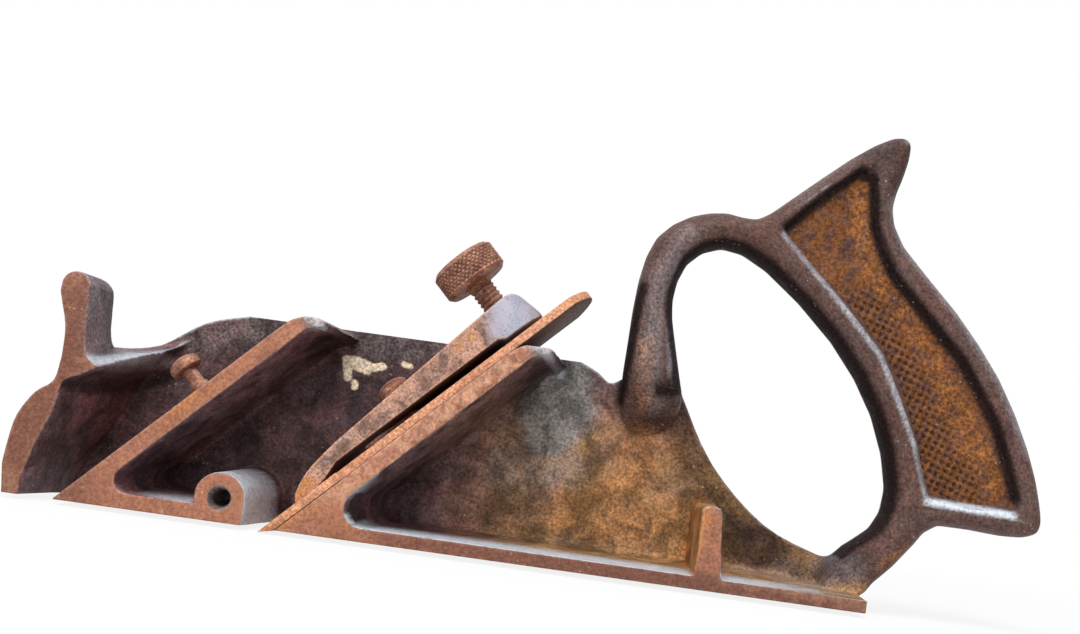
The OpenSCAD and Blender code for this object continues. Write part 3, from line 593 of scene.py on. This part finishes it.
def rusted_finish(name, base, dark, bright, bright_share, patch, metal, roughness, rub, shaded_side=None):
    """Rusted steel or iron of one piece, with pits, rubbed edges, painted shade in hollows and on one side,
    and patches by place with painted highlights
    """
    c = bpy.context.scene.rebate_plane_colours
    material, tree, shader = start_material(name, base)
    place = own_place(tree)
    fine = noise(tree, place, 420.0, 5.0, 0.65, 0.3)
    rust = group_of(tree, "Rust Mottle", rust_group, Patch_Size=patch, Grain_Size=1500.0, Base=base,
                    Dark=dark, Bright=bright, Bright_Share=bright_share)
    rubbed = group_of(tree, "Rubbed Edges", rubbed_group, Amount=rub, Break_Up=500.0).outputs["Mask"]
    pits = group_of(tree, "Pits", pits_group, Size=1100.0, Spread=0.53)
    colour = mixed(tree, times(tree, pits.outputs["Mask"], 0.6), rust.outputs["Color"], dark)
    rusty = worn_patch(tree, "rusty", fine)
    colour = mixed(tree, times(tree, rusty, 0.8), colour, c.rust_orange)
    # Painted shade in the hollows
    colour = mixed(tree, times(tree, mask_of(tree, "hollow"), 0.6), colour, c.soot_and_shade)
    colour = mixed(tree, times(tree, rubbed, 0.5), colour, c.rust_pale)
    # Painted shade on the side that faces the given direction
    if shaded_side is not None:
        facing = put(tree, "NewGeometry").outputs["Normal"]
        turned = put(tree, "VectorMath", {"operation": "DOT_PRODUCT"}, {0: facing, 1: shaded_side})
        dirt = ranged(tree, turned.outputs["Value"], 0.4, 0.8, 0.0, 0.95)
        colour = mixed(tree, dirt, colour, c.japan_brown)
    # Bare metal patches with painted highlights, set by place
    bare_and_highlight = worn_patch(tree, "bare_and_highlight", fine, 0.2, 0.8)
    colour = mixed(tree, 1.0, colour, ranged(tree, rust.outputs["Grain"], 0.3, 0.7, 0.58, 1.36), "MULTIPLY")
    colour = mixed(tree, times(tree, bare_and_highlight, 0.75), colour, c.worn_blue_and_highlight)
    rough = ranged(tree, rust.outputs["Grain"], 0.3, 0.7, roughness - 0.1, roughness + 0.1)
    metallic = larger(tree, times(tree, bare_and_highlight, 0.3), metal)
    feed(tree, shader, {"Base Color": colour, "Roughness": rough, "Metallic": metallic,
                        "Specular IOR Level": 0.14})
    height = plus(tree, times(tree, rust.outputs["Height"], 0.16), times(tree, pits.outputs["Height"], 0.14))
    bump(tree, shader, height, 0.7)
    return material


def dress(piece, material, node, body=None):
    """Gives a piece its material and its place in the frame"""
    piece.data.materials.clear()
    piece.data.materials.append(material)
    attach(piece, body or node)
    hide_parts(node)


# Pieces

PANEL_OUTLINE = [
    (177.5, 91), (196.2, 109.4), (199.8, 107.6), (201.6, 94.8), (207.5, 84), (227.6, 64.6), (238.2, 49.4),
    (245.2, 32), (243.4, 28.2), (222.4, 28.8), (217.4, 41.8), (206.4, 63), (191, 77.8)]
# The hand hole with the handle's inner walls round it
HAND_HOLE = [
    (152, 46), (149.5, 70), (152, 83), (163, 89.5), (178, 85), (198, 69), (211.5, 50), (218, 30), (215.5, 18),
    (205, 10), (180, 24), (165, 45)]
# Wear, painted highlights and painted shade on the body by mask and depth: strength, radius and points of
# each stroke in the side view, in millimetres from the toe and the sole
WEAR = {
    # The silver strokes are bare iron and painted highlights on edges, fillets, the flange top, the boss's
    # side and the handle's rim
    ("bare_and_highlight", "near"): [
        (0.6, 1, [(62, 52.6), (67, 52.6), (73, 47)]),
        (0.9, 0.9, [(88, 17), (80.8, 9.4), (81, 5.6), (88, 4)])],
    ("bare_and_highlight", "all"): [
        (0.7, 1, [(118, 52.8), (123, 52.4), (127, 48)]),
        (0.4, 0.7, [(178.6, 89.6), (192, 76.9), (206.4, 62.4), (217.5, 41.7), (222, 29)]),
        (1, 0.9, [(222.4, 28.3), (243.6, 27.7)]),
        (0.12, 3.4, [(192, 5.6), (200, 6.6), (205, 9)]),
        (0.8, 1.6, [(13.5, 33), (19, 35.5), (24, 38)]),
        (0.08, 3, [(14.6, 39), (14.2, 52)]),
        (0.1, 2.6, [(155, 86), (149, 74), (149.6, 52), (152, 44)])],
    ("bare_and_highlight", "open"): [
        (0.8, 6, [(54, 10), (59, 5)])],
    ("bare_and_highlight", "floor"): [
        (1, 1, [(86, 3.9), (165, 3.9)]),
        (1, 1.2, [(172.8, 4), (197, 4.6)]),
        (0.6, 0.8, [(32.5, 10), (30.5, 7), (32, 5), (45, 4)])],
    ("bare_and_highlight", "rim"): [
        (0.4, 1.6, [(153.4, 76), (154.4, 62), (156.4, 52), (159.5, 45)]),
        (0.24, 2.4, [(206.4, 101), (210.4, 91.4), (225.2, 77), (238, 61.6), (247, 45)]),
        (0.06, 2.4, [(180, 101), (193, 113), (203, 119)])],
    ("greyed", "near"): [
        (1, 2.4, [(68, 50.6), (72, 48)]),
        (1, 2.4, [(123, 51.2), (126.5, 48.4)])],
    ("greyed", "web"): [
        (1, 6.5, [(129, 46), (124, 38), (131, 39), (126, 32)]),
        (0.5, 6, [(116, 22), (132, 24)]),
        (0.4, 4.5, [(30, 43), (44, 48), (60, 49)]),
        (0.4, 3.5, [(74, 49), (100, 49)])],
    ("greyed", "open"): [
        (0.35, 3, [(14.8, 38), (14.4, 52)])],
    ("rusty", "near"): [
        (0.8, 2.4, [(39.3, 25.7), (41.5, 29.9)]),
        (0.8, 2.4, [(68, 2.5), (72, 8.5), (78, 15)]),
        (0.9, 2.8, [(52, 5.8), (52.4, 5.8)])],
    ("rusty", "all"): [
        (1, 1.8, [(165.4, 5), (165.8, 15), (167.4, 20.6)]),
        (0.55, 2.4, [(148, 58), (148.6, 50), (150, 43)]),
        (0.2, 3.6, [(152, 82), (160, 91), (172, 92)]),
        (0.45, 3.6, [(196, 103), (197, 95), (204, 82), (221, 62), (237, 36)]),
        (0.5, 2, [(213, 11), (219, 16)])],
    ("rusty", "web"): [
        (0.7, 6, [(143, 18.7), (149, 24), (150, 34)]),
        (0.6, 6.5, [(132, 13), (146, 11), (161, 16)]),
        (0.5, 4.5, [(163, 30), (158, 38)])],
    # The soot strokes are mostly painted shade: under the ribs, along the bar's left side and foot, round the
    # panels' top and right edges, in the boss's hole and on the web below the handle
    ("soot_and_shade", "web"): [
        (0.2, 3, [(30, 8), (38, 17), (66, 44.5)]),
        (0.2, 3.6, [(84, 9), (102, 25), (122, 45)]),
        (0.62, 5, [(160, 40), (168, 28), (180, 16), (194, 9)]),
        (0.6, 3.6, [(175, 11), (186, 9)])],
    ("soot_and_shade", "all"): [
        (0.8, 1.6, [(9.5, 28.5), (12.5, 27.5), (20, 31), (30, 36)]),
        (0.95, 1.3, [(145.3, 72), (144.9, 69.1), (144, 55.5), (143.4, 43.2)]),
        (0.55, 2.4, [(148, 37), (156, 39)]),
        (0.95, 1.3, [(179, 91.8), (195.6, 108.2), (199, 106.6), (200.8, 94.8), (206.8, 83.4), (226.8, 64),
                    (237.2, 49), (244, 32)]),
        (0.95, 2.8, [(52, 5.8), (52.4, 5.8)]),
        (0.4, 4, [(198, 112), (205.6, 118), (206, 107)]),
        (0.38, 3.4, [(193, 7), (200, 8), (206, 11)])],
    ("pale", "web"): [
        (1, 1.2, [(70.8, 44.4), (71.6, 41.4), (71.9, 39.8)]),
        (1, 1.7, [(72.4, 43.8), (76.4, 42.8)]),
        (1, 1, [(78.4, 43), (80.6, 43.6)]),
        (1, 0.9, [(73.8, 38.6), (74, 37.4)]),
        (0.8, 0.8, [(86, 45.2), (88, 44.6)])],
}
# The line along which the panels' checkering is least worn
CHECKERED = [(202, 72), (212.5, 57), (222, 40), (229, 32)]
# How deep strokes reach into the body from the open side, and over what distance they fade before that
DEPTHS = {"all": (15.2, 0.8), "near": (-14.5, 0.8), "open": (11.5, 3.0), "floor": (1.0, 15.0),
          "rim": (6.0, 6.0), "web": (15.2, 0.8)}


def near_stroke(x, z, points, radius):
    """How close each place lies to a stroke, from 1 on it to 0 well outside its radius"""
    nearest = np.full(len(x), 1e9)
    for (x0, z0), (x1, z1) in zip(points, points[1:]):
        along = ((x - x0) * (x1 - x0) + (z - z0) * (z1 - z0)) / ((x1 - x0) ** 2 + (z1 - z0) ** 2)
        along = np.clip(along, 0.0, 1.0)
        nearest = np.minimum(nearest, np.hypot(x - x0 - along * (x1 - x0), z - z0 - along * (z1 - z0)))
    return 1.0 - smooth_step(nearest, 0.4 * radius, 1.7 * radius)


def mark_wear(piece, strokes, x, y, z, soot_and_shade=None):
    """Writes the masks of rust, grey and bare iron with painted highlights, soot with painted shade, and
    residue from strokes
    """
    masks = {name: np.zeros(len(x)) for name in ("bare_and_highlight", "greyed", "rusty", "soot_and_shade", "pale")}
    if soot_and_shade is not None:
        masks["soot_and_shade"] = soot_and_shade
    for (name, depth), marks in strokes.items():
        end, fade = DEPTHS[depth]
        where = smooth_step(-y, -end, fade - end) * (smooth_step(y, 9.0, 10.0) if depth == "web" else 1.0)
        for strength, radius, points in marks:
            masks[name] = np.maximum(masks[name], strength * near_stroke(x, z, points, radius) * where)
    for name, values in masks.items():
        write_mask(piece.data, name, values)


def mark_body_zones(piece):
    """Masks of the handle, seats, wear, painted shade and painted highlights, by place in millimetres from
    toe and sole
    """
    place, normal = coordinates(piece.data)
    x, y, z = side_view(place)
    high = smooth_step(x, 139.5, 143.0) * smooth_step(z, 48.5, 52.0)
    foot = smooth_step(x, 141.0, 144.0) * smooth_step(x, 162.0, 157.0) * smooth_step(z, 34.0, 39.0)
    heel = smooth_step(x, 197.0, 202.0) * smooth_step(z, 4.0, 8.0)
    grip = np.maximum(np.maximum(high, foot * (y < 13.4)), heel)
    write_mask(piece.data, "grip", grip)
    upward = normal @ np.array(OFF_BED)
    on_seat = np.zeros(len(x), dtype=bool)
    for start in (FRONT_BED, MAIN_BED):
        on_seat |= np.abs((x - start) * OFF_BED[0] + z * OFF_BED[2]) < 0.5
    write_mask(piece.data, "seat", ((upward > 0.85) & on_seat).astype(float))
    # Painted shade lies on the inner walls of the hand hole, deeper than the rounded edges
    walls = inside_outline(x, z, HAND_HOLE) * grip * smooth_step(np.abs(normal[:, 1]), 0.95, 0.7)
    walls = walls * smooth_step(y, -2.4, -0.4) * smooth_step(y, 10.0, 8.5)
    # and on the undersides of the bed ribs, deeper towards the web
    under = smooth_step(-upward, 0.5, 0.8) * smooth_step(y, -17.0, -2.0) * smooth_step(x, 135.0, 130.0)
    under = under * (0.06 + 0.66 * smooth_step(z, 34.0, 46.0))
    mark_wear(piece, WEAR, x, y, z, np.maximum(walls * 0.95, under))


def on_handle(place):
    """Which places of the body belong to the handle"""
    x, y, z = side_view(place)
    bar = (x > 142.5) & (x < 160.0) & (z > 33.0) & (y < 13.6)
    return ((x > 142.5) & (z > 52.0)) | bar | ((x > 198.0) & (z > 6.0))


def at_roots(place):
    """Which places of the body lie where the handle grows out of the web"""
    x, y, z = side_view(place)
    bar = (x > 138.0) & (x < 166.0) & (z > 30.0) & (z < 47.0)
    tail = (x > 188.0) & (x < 207.0) & (z > 5.0) & (z < 14.0)
    return (bar | tail) & (y < 15.8) & (y > -16.0)


def slope_foot(piece):
    """Lets the foot of the handle's bar slope into the web"""
    place, _ = coordinates(piece.data)
    x, y, z = side_view(place)
    near = (x > 139.0) & (x < 166.0) & (z > 28.0) & (z < 56.0) & (y < WEB_FACE)
    share = np.where(near, smooth_step(z, 31.0, 54.0), 1.0)
    place[:, 1] = (WEB_FACE + (y - WEB_FACE) * share) * MM
    move_vertices(piece, place)


def on_panels(place, normal):
    """Which places lie on the sunk floors of the grip panels"""
    x, y, z = side_view(place)
    floor = (np.abs(np.abs(y - 7.0) - 6.5) < 0.9) & (np.abs(normal[:, 1]) > 0.8)
    return floor & inside_outline(x, z, PANEL_OUTLINE)


def on_flats(place, normal):
    """Which places lie on the web, the flange and the panels, where masks and dents need an even mesh"""
    _, y, z = side_view(place)
    web = (np.abs(y - WEB_FACE) < 0.4) & (normal[:, 1] < -0.9)
    flange = (z < 6.0) & (y < 8.0) & (normal[:, 2] > 0.6)
    return web | flange | on_panels(place, normal)


def press_dents(piece):
    """Presses rows of small round dents into the panels, shallower where the checkering is worn"""
    sizes = bpy.context.scene.rebate_plane_sizes
    place, normal = coordinates(piece.data)
    x, _, z = side_view(place)
    kept = near_stroke(x, z, CHECKERED, 7.0) * on_panels(place, normal)
    turn = math.radians(25)
    along = place[:, 0] * math.cos(turn) + place[:, 2] * math.sin(turn)
    across = place[:, 2] * math.cos(turn) - place[:, 0] * math.sin(turn)
    wave = 2.0 * math.pi / sizes.dent_pitch
    dents = smooth_step(np.cos(wave * along) * np.cos(wave * across), 0.0, 0.5) * kept
    place -= normal * (dents * sizes.dent_depth)[:, None]
    move_vertices(piece, place)
    write_mask(piece.data, "dents", dents)


class REBATEPLANE_OT_body(bpy.types.Operator):
    """Finishes the body casting"""

    bl_idname = "rebate_plane.body"
    bl_label = "Body Casting"

    def execute(self, context):
        sizes = context.scene.rebate_plane_sizes
        piece = copy_of_node("body_casting", "body_casting_finish")
        soft = ((on_handle, 30), (at_roots, 150))
        soften_casting(piece, "body_casting", sizes.casting_grain, BODY_TRIANGLES, soft, on_flats)
        slope_foot(piece)
        write_mask(piece.data, "panel", on_panels(*coordinates(piece.data)).astype(float))
        mark_curvature(piece)
        press_dents(piece)
        mark_body_zones(piece)
        dress(piece, casting_finish(), "body_casting", "body")
        return {"FINISHED"}


def mark_bed_wear(piece, strokes):
    """Wear and painted highlights of a piece on the main bed, in millimetres up the bed from the sole and off
    its seat
    """
    place, _ = coordinates(piece.data)
    place = place + np.array((HALF_SOLE - MAIN_BED * MM, 0.0, 0.0))
    up, off = (place @ np.array(axis) / MM for axis in (UP_BED, OFF_BED))
    mark_wear(piece, strokes, up, np.zeros(len(up)), off)


class REBATEPLANE_OT_cutter(bpy.types.Operator):
    """Finishes the cutter"""

    bl_idname = "rebate_plane.cutter"
    bl_label = "Cutter"

    def execute(self, context):
        c = context.scene.rebate_plane_colours
        piece = copy_of_node("cutter", "cutter_finish")
        bevel_edges(piece, context.scene.rebate_plane_sizes.edge_bevel)
        strokes = {("bare_and_highlight", "all"): [(0.3, 1, [(94, 1.1), (97, 1.1)])],
                   ("rusty", "all"): [(0.8, 3, [(0, 0.5), (9, 1.5)])]}
        mark_bed_wear(piece, strokes)
        finish = rusted_finish("rusted_cutter_steel", base=(0.56, 0.27, 0.155), dark=(0.43, 0.195, 0.115),
                               bright=c.rust_orange, bright_share=0.4, patch=120.0, metal=0.1, roughness=0.66,
                               rub=0.6, shaded_side=-OFF_BED)
        dress(piece, finish, "cutter")
        return {"FINISHED"}


class REBATEPLANE_OT_lever_cap(bpy.types.Operator):
    """Finishes the lever cap"""

    bl_idname = "rebate_plane.lever_cap"
    bl_label = "Lever Cap"

    def execute(self, context):
        piece = copy_of_node("lever_cap", "lever_cap_finish")
        soften_casting(piece, "lever_cap", CAP_GRAIN, CAP_TRIANGLES)
        mark_curvature(piece)
        # The cap's head is painted with bare iron as a highlight
        strokes = {("bare_and_highlight", "all"): [(1, 5.5, [(74.5, 6), (80, 9)]), (0.15, 4, [(30, 7), (55, 9)])],
                   ("rusty", "all"): [(0.9, 2.6, [(6, 2), (12, 4)]), (0.5, 1.6, [(60, 9), (66, 9)])]}
        mark_bed_wear(piece, strokes)
        finish = rusted_finish("pitted_cap_iron", base=(0.44, 0.245, 0.175), dark=(0.15, 0.085, 0.065),
                               bright=(0.40, 0.30, 0.26), bright_share=0.7, patch=150.0, metal=0.1,
                               roughness=0.62, rub=0.8, shaded_side=-OFF_BED)
        dress(piece, finish, "lever_cap")
        return {"FINISHED"}


def turned_piece(name, profile, steps):
    """A piece turned about Z from a profile of radius and height in millimetres"""
    mesh = bpy.data.meshes.new(name)
    edges = [(i, i + 1) for i in range(len(profile) - 1)]
    mesh.from_pydata([(r * MM, 0.0, h * MM) for r, h in profile], edges, [])
    piece = new_object(name, mesh)
    apply_modifier(piece, "SCREW", axis="Z", angle=2.0 * math.pi, steps=steps, render_steps=steps,
                   use_merge_vertices=True, merge_threshold=0.01 * MM, use_smooth_shade=True)
    return piece


def even_rows(start, end, gap):
    """Profile points from start to end, at most a gap apart"""
    count = max(1, math.ceil(math.dist(start, end) / gap))
    (r0, h0), (r1, h1) = start, end
    return [(r0 + (r1 - r0) * i / count, h0 + (h1 - h0) * i / count) for i in range(count)]


def cut_knurl_and_thread(piece, head_radius, head_span, shank_radius, thread_span):
    """Presses a diamond knurl into the head's rim and a helical thread into the shank"""
    sizes = bpy.context.scene.rebate_plane_sizes
    place, _ = coordinates(piece.data)
    radius = np.hypot(place[:, 0], place[:, 1])
    angle = np.arctan2(place[:, 1], place[:, 0])
    height = place[:, 2]
    count = round(2.0 * math.pi * head_radius / sizes.knurl_pitch)
    lift = height / sizes.knurl_pitch
    first = np.abs(((angle / (2.0 * math.pi) * count + lift) % 1.0) - 0.5) * 2.0
    second = np.abs(((angle / (2.0 * math.pi) * count - lift) % 1.0) - 0.5) * 2.0
    groove = np.maximum(smooth_step(first, 0.45, 1.0), smooth_step(second, 0.45, 1.0))
    margin = 0.5 * MM
    slack = 0.05 * MM
    on_rim = (radius > head_radius - slack) * smooth_step(height, head_span[0], head_span[0] + margin)
    on_rim = on_rim * smooth_step(-height, -head_span[1], margin - head_span[1])
    turn = np.abs(((height / sizes.thread_pitch - angle / (2.0 * math.pi)) % 1.0) - 0.5) * 2.0
    on_shank = (height > thread_span[0]) & (height < thread_span[1])
    on_shank = on_shank & (np.abs(radius - shank_radius) < slack)
    inward = groove * on_rim * sizes.knurl_depth + turn * on_shank * sizes.thread_depth
    share = np.where(radius > 1e-7, 1.0 - inward / np.maximum(radius, 1e-7), 1.0)
    place[:, 0] *= share
    place[:, 1] *= share
    move_vertices(piece, place)
    # The knurl's grooves and the thread's valleys are masked for painted shade
    write_mask(piece.data, "hollow", groove * on_rim * 0.75 + turn * on_shank * 0.6)


def thumb_screw(name, low, head, top, shank_radius, head_radius, chamfer, neck, pose):
    """A knurled screw with a threaded shank, sizes in millimetres along its axis, moved to its pose"""
    tip = 0.9
    profile = [(0.0, low)] + even_rows((shank_radius - tip, low), (shank_radius, low + tip), 0.3)
    profile += even_rows((shank_radius, low + tip), (shank_radius, head - neck), 0.13)
    profile += [(shank_radius + neck * (1.0 - math.cos(a)), head - neck * (1.0 - math.sin(a)))
                for a in (0.0, 0.4, 0.8, 1.2, math.pi / 2.0)]
    profile += [(head_radius - chamfer, head)]
    profile += even_rows((head_radius, head + chamfer), (head_radius, top - chamfer), 0.14)
    profile += [(head_radius, top - chamfer), (head_radius - chamfer, top), (0.0, top)]
    piece = turned_piece(name, profile, 256)
    head_span = ((head + chamfer) * MM, (top - chamfer) * MM)
    thread_span = ((low + tip) * MM, (head - neck) * MM)
    cut_knurl_and_thread(piece, head_radius * MM, head_span, shank_radius * MM, thread_span)
    piece.data.transform(pose)
    face_outward(piece)
    bpy.ops.object.shade_smooth_by_angle(angle=math.radians(40))
    return piece


class REBATEPLANE_OT_screws(bpy.types.Operator):
    """Turns the two knurled screws and finishes the cap screws and the spur's screw"""

    bl_idname = "rebate_plane.screws"
    bl_label = "Screws"

    def execute(self, context):
        c = context.scene.rebate_plane_colours
        finish = rusted_finish("rusted_screw_steel", (0.32, 0.160, 0.108), c.rust_dark, c.rust_pale,
                               bright_share=0.5, patch=240.0, metal=0.2, roughness=0.55, rub=0.9)
        # The cap's screw stands upright on the main seat
        axis = Matrix((UP_BED, (0.0, 1.0, 0.0), OFF_BED)).transposed().to_4x4()
        foot = Vector((MAIN_BED * MM - HALF_SOLE, -2.5 * MM, 0.0)) + 74.1 * MM * UP_BED
        thumb = thumb_screw("cap_thumb_screw_finish", low=2.3, head=20.5, top=27.9, shank_radius=3.175,
                            head_radius=8.5, chamfer=0.9, neck=1.6, pose=Matrix.Translation(foot) @ axis)
        dress(thumb, finish, "cap_thumb_screw")
        # and the gauge's screw points out of the right side
        side = Matrix(((1.0, 0.0, 0.0), (0.0, 0.0, 1.0), (0.0, -1.0, 0.0))).to_4x4()
        spot = Vector((46.0 * MM - HALF_SOLE, 0.0, 30.5 * MM))
        gauge = thumb_screw("depth_gauge_screw_finish", low=15.0, head=23.2, top=28.2, shank_radius=2.5,
                            head_radius=6.0, chamfer=0.7, neck=0.05, pose=Matrix.Translation(spot) @ side)
        dress(gauge, finish, "depth_gauge_screw")
        for node in ("rear_cap_screw", "front_cap_screw", "spur_screw"):
            piece = copy_of_node(node, node + "_finish")
            bevel_edges(piece, SMALL_BEVEL)
            dress(piece, finish, node)
        return {"FINISHED"}


class REBATEPLANE_OT_side_gear(bpy.types.Operator):
    """Finishes the spur and the depth gauge on the right side"""

    bl_idname = "rebate_plane.side_gear"
    bl_label = "Spur and Depth Gauge"

    def execute(self, context):
        c = context.scene.rebate_plane_colours
        steel = rusted_finish("browned_spur_steel", c.rust_dark, c.japan_brown, c.bare_iron_and_highlight,
                              bright_share=0.5, patch=300.0, metal=0.4, roughness=0.5, rub=1.0)
        iron = rusted_finish("browned_gauge_iron", c.handle_brown, c.rust_dark, c.rust,
                             bright_share=0.6, patch=120.0, metal=0.15, roughness=0.62, rub=1.0)
        spur = copy_of_node("spur", "spur_finish")
        bevel_edges(spur, SMALL_BEVEL)
        dress(spur, steel, "spur")
        gauge = copy_of_node("depth_gauge", "depth_gauge_finish")
        bevel_edges(gauge, context.scene.rebate_plane_sizes.edge_bevel)
        dress(gauge, iron, "depth_gauge")
        return {"FINISHED"}


class REBATEPLANE_OT_stage(bpy.types.Operator):
    """Sets the floor, the light and the camera"""

    bl_idname = "rebate_plane.stage"
    bl_label = "Stage"

    def execute(self, context):
        settings = context.scene.rebate_plane_stage
        bpy.ops.object.select_all(action="DESELECT")
        # The floor lies just below the cutter's edge
        bpy.ops.mesh.primitive_plane_add(size=6.0, location=(0.0, 0.0, -1.2 * MM))
        floor = context.active_object
        floor.name = "floor"
        bpy.ops.object.transform_apply()
        material, tree, shader = start_material("pale_floor", settings.floor)
        feed(tree, shader, {"Base Color": settings.floor, "Roughness": 0.9})
        glow = put(tree, "Emission", None, {"Color": (1.0, 1.0, 1.0), "Strength": 1.0})
        path = put(tree, "LightPath")
        seen = larger(tree, path.outputs["Is Camera Ray"], path.outputs["Is Glossy Ray"])
        away = put(tree, "VectorMath", {"operation": "LENGTH"}, {"Vector": own_place(tree)})
        share = times(tree, seen, ranged(tree, away.outputs["Value"], 0.12, 0.40, 0.86, 1.0))
        feed(tree, tree.nodes["Material Output"], {"Surface": blended(tree, share, shader, glow)})
        floor.data.materials.append(material)
        self.light(context, settings)
        self.camera(context)
        return {"FINISHED"}

    def light(self, context, settings):
        """Light from all round, a large key lamp above the plane and a fill lamp before its open side"""
        world = bpy.data.worlds.new("soft_studio")
        context.scene.world = world
        world.use_nodes = True
        tree = world.node_tree
        tree.nodes.clear()
        path = put(tree, "LightPath")
        mirrored = larger(tree, path.outputs["Is Glossy Ray"], path.outputs["Is Transmission Ray"])
        seen = larger(tree, path.outputs["Is Camera Ray"], mirrored)
        white = put(tree, "Background", None, {"Color": (1.0, 1.0, 1.0), "Strength": 1.0})
        sky = put(tree, "Background", None, {"Color": (0.97, 0.98, 1.0), "Strength": settings.sky})
        put(tree, "OutputWorld", None, {"Surface": blended(tree, seen, sky, white)})
        lamps = [("key_lamp", (0.05, -0.30, 0.70), 0.40, (0.92, 0.96, 1.0), settings.key),
                 ("fill_lamp", (-0.18, -0.80, 0.30), 0.6, (1.0, 0.98, 0.95), settings.fill)]
        for name, spot, width, colour, power in lamps:
            data = bpy.data.lights.new(name, "AREA")
            data.size = width
            data.energy = power
            data.color = colour
            lamp = new_object(name, data)
            lamp.location = spot
            aim = Vector((0.0, 0.0, 0.05)) - Vector(spot)
            lamp.rotation_euler = aim.to_track_quat("-Z", "Y").to_euler()

    def camera(self, context):
        """The photograph's view: the open side, a little below the middle, with the frame turned 8 degrees"""
        data = bpy.data.cameras.new("camera")
        # Width, focal length and offset of the middle, in pixels of the photograph
        wide, focal, across, up = 1080.0, 1450.0, -65.0, 84.0
        data.sensor_width = 36.0
        data.lens = 36.0 * focal / wide
        data.shift_x = across / wide
        data.shift_y = up / wide
        data.clip_start = 0.01
        camera = new_object("camera", data)
        turn = Vector((-0.0448, 0.0197, 0.1378))
        view = Matrix.Rotation(turn.length, 3, turn) @ Matrix(((1, 0, 0), (0, 0, -1), (0, 1, 0)))
        right, down, ahead = (Vector(row) for row in view)
        pose = Matrix((right, -down, -ahead)).transposed().to_4x4()
        pose.translation = Vector((148.02 * MM - HALF_SOLE, -363.72 * MM, 26.40 * MM))
        camera.matrix_world = pose
        context.scene.camera = camera


class REBATEPLANE_PT_tools(bpy.types.Panel):
    """Lists the pieces of the plane"""

    bl_idname = "REBATEPLANE_PT_tools"
    bl_label = "Rebate Plane"
    bl_space_type = "VIEW_3D"
    bl_region_type = "UI"
    bl_category = "Rebate Plane"

    def draw(self, context):
        for operator in OPERATORS:
            self.layout.operator(operator.bl_idname)
        for name in GROUPS:
            group = getattr(context.scene, name)
            box = self.layout.box()
            for key in group.bl_rna.properties.keys():
                if key not in ("rna_type", "name"):
                    box.prop(group, key)


OPERATORS = (REBATEPLANE_OT_stage, REBATEPLANE_OT_body, REBATEPLANE_OT_cutter, REBATEPLANE_OT_lever_cap,
             REBATEPLANE_OT_screws, REBATEPLANE_OT_side_gear)
GROUPS = {"rebate_plane_sizes": RebatePlaneSizes, "rebate_plane_colours": RebatePlaneColours,
          "rebate_plane_stage": RebatePlaneStage}
CLASSES = (*GROUPS.values(), *OPERATORS, REBATEPLANE_PT_tools)


def register():
    for cls in CLASSES:
        bpy.utils.register_class(cls)
    for name, group in GROUPS.items():
        setattr(bpy.types.Scene, name, bpy.props.PointerProperty(type=group))


def unregister():
    for name in GROUPS:
        delattr(bpy.types.Scene, name)
    for cls in reversed(CLASSES):
        bpy.utils.unregister_class(cls)


def main():
    register()
    bpy.context.scene.view_settings.view_transform = "Standard"
    bpy.ops.rebate_plane.stage()
    bpy.ops.rebate_plane.body()
    bpy.ops.rebate_plane.cutter()
    bpy.ops.rebate_plane.lever_cap()
    bpy.ops.rebate_plane.screws()
    bpy.ops.rebate_plane.side_gear()


if __name__ == "__main__":
    main()
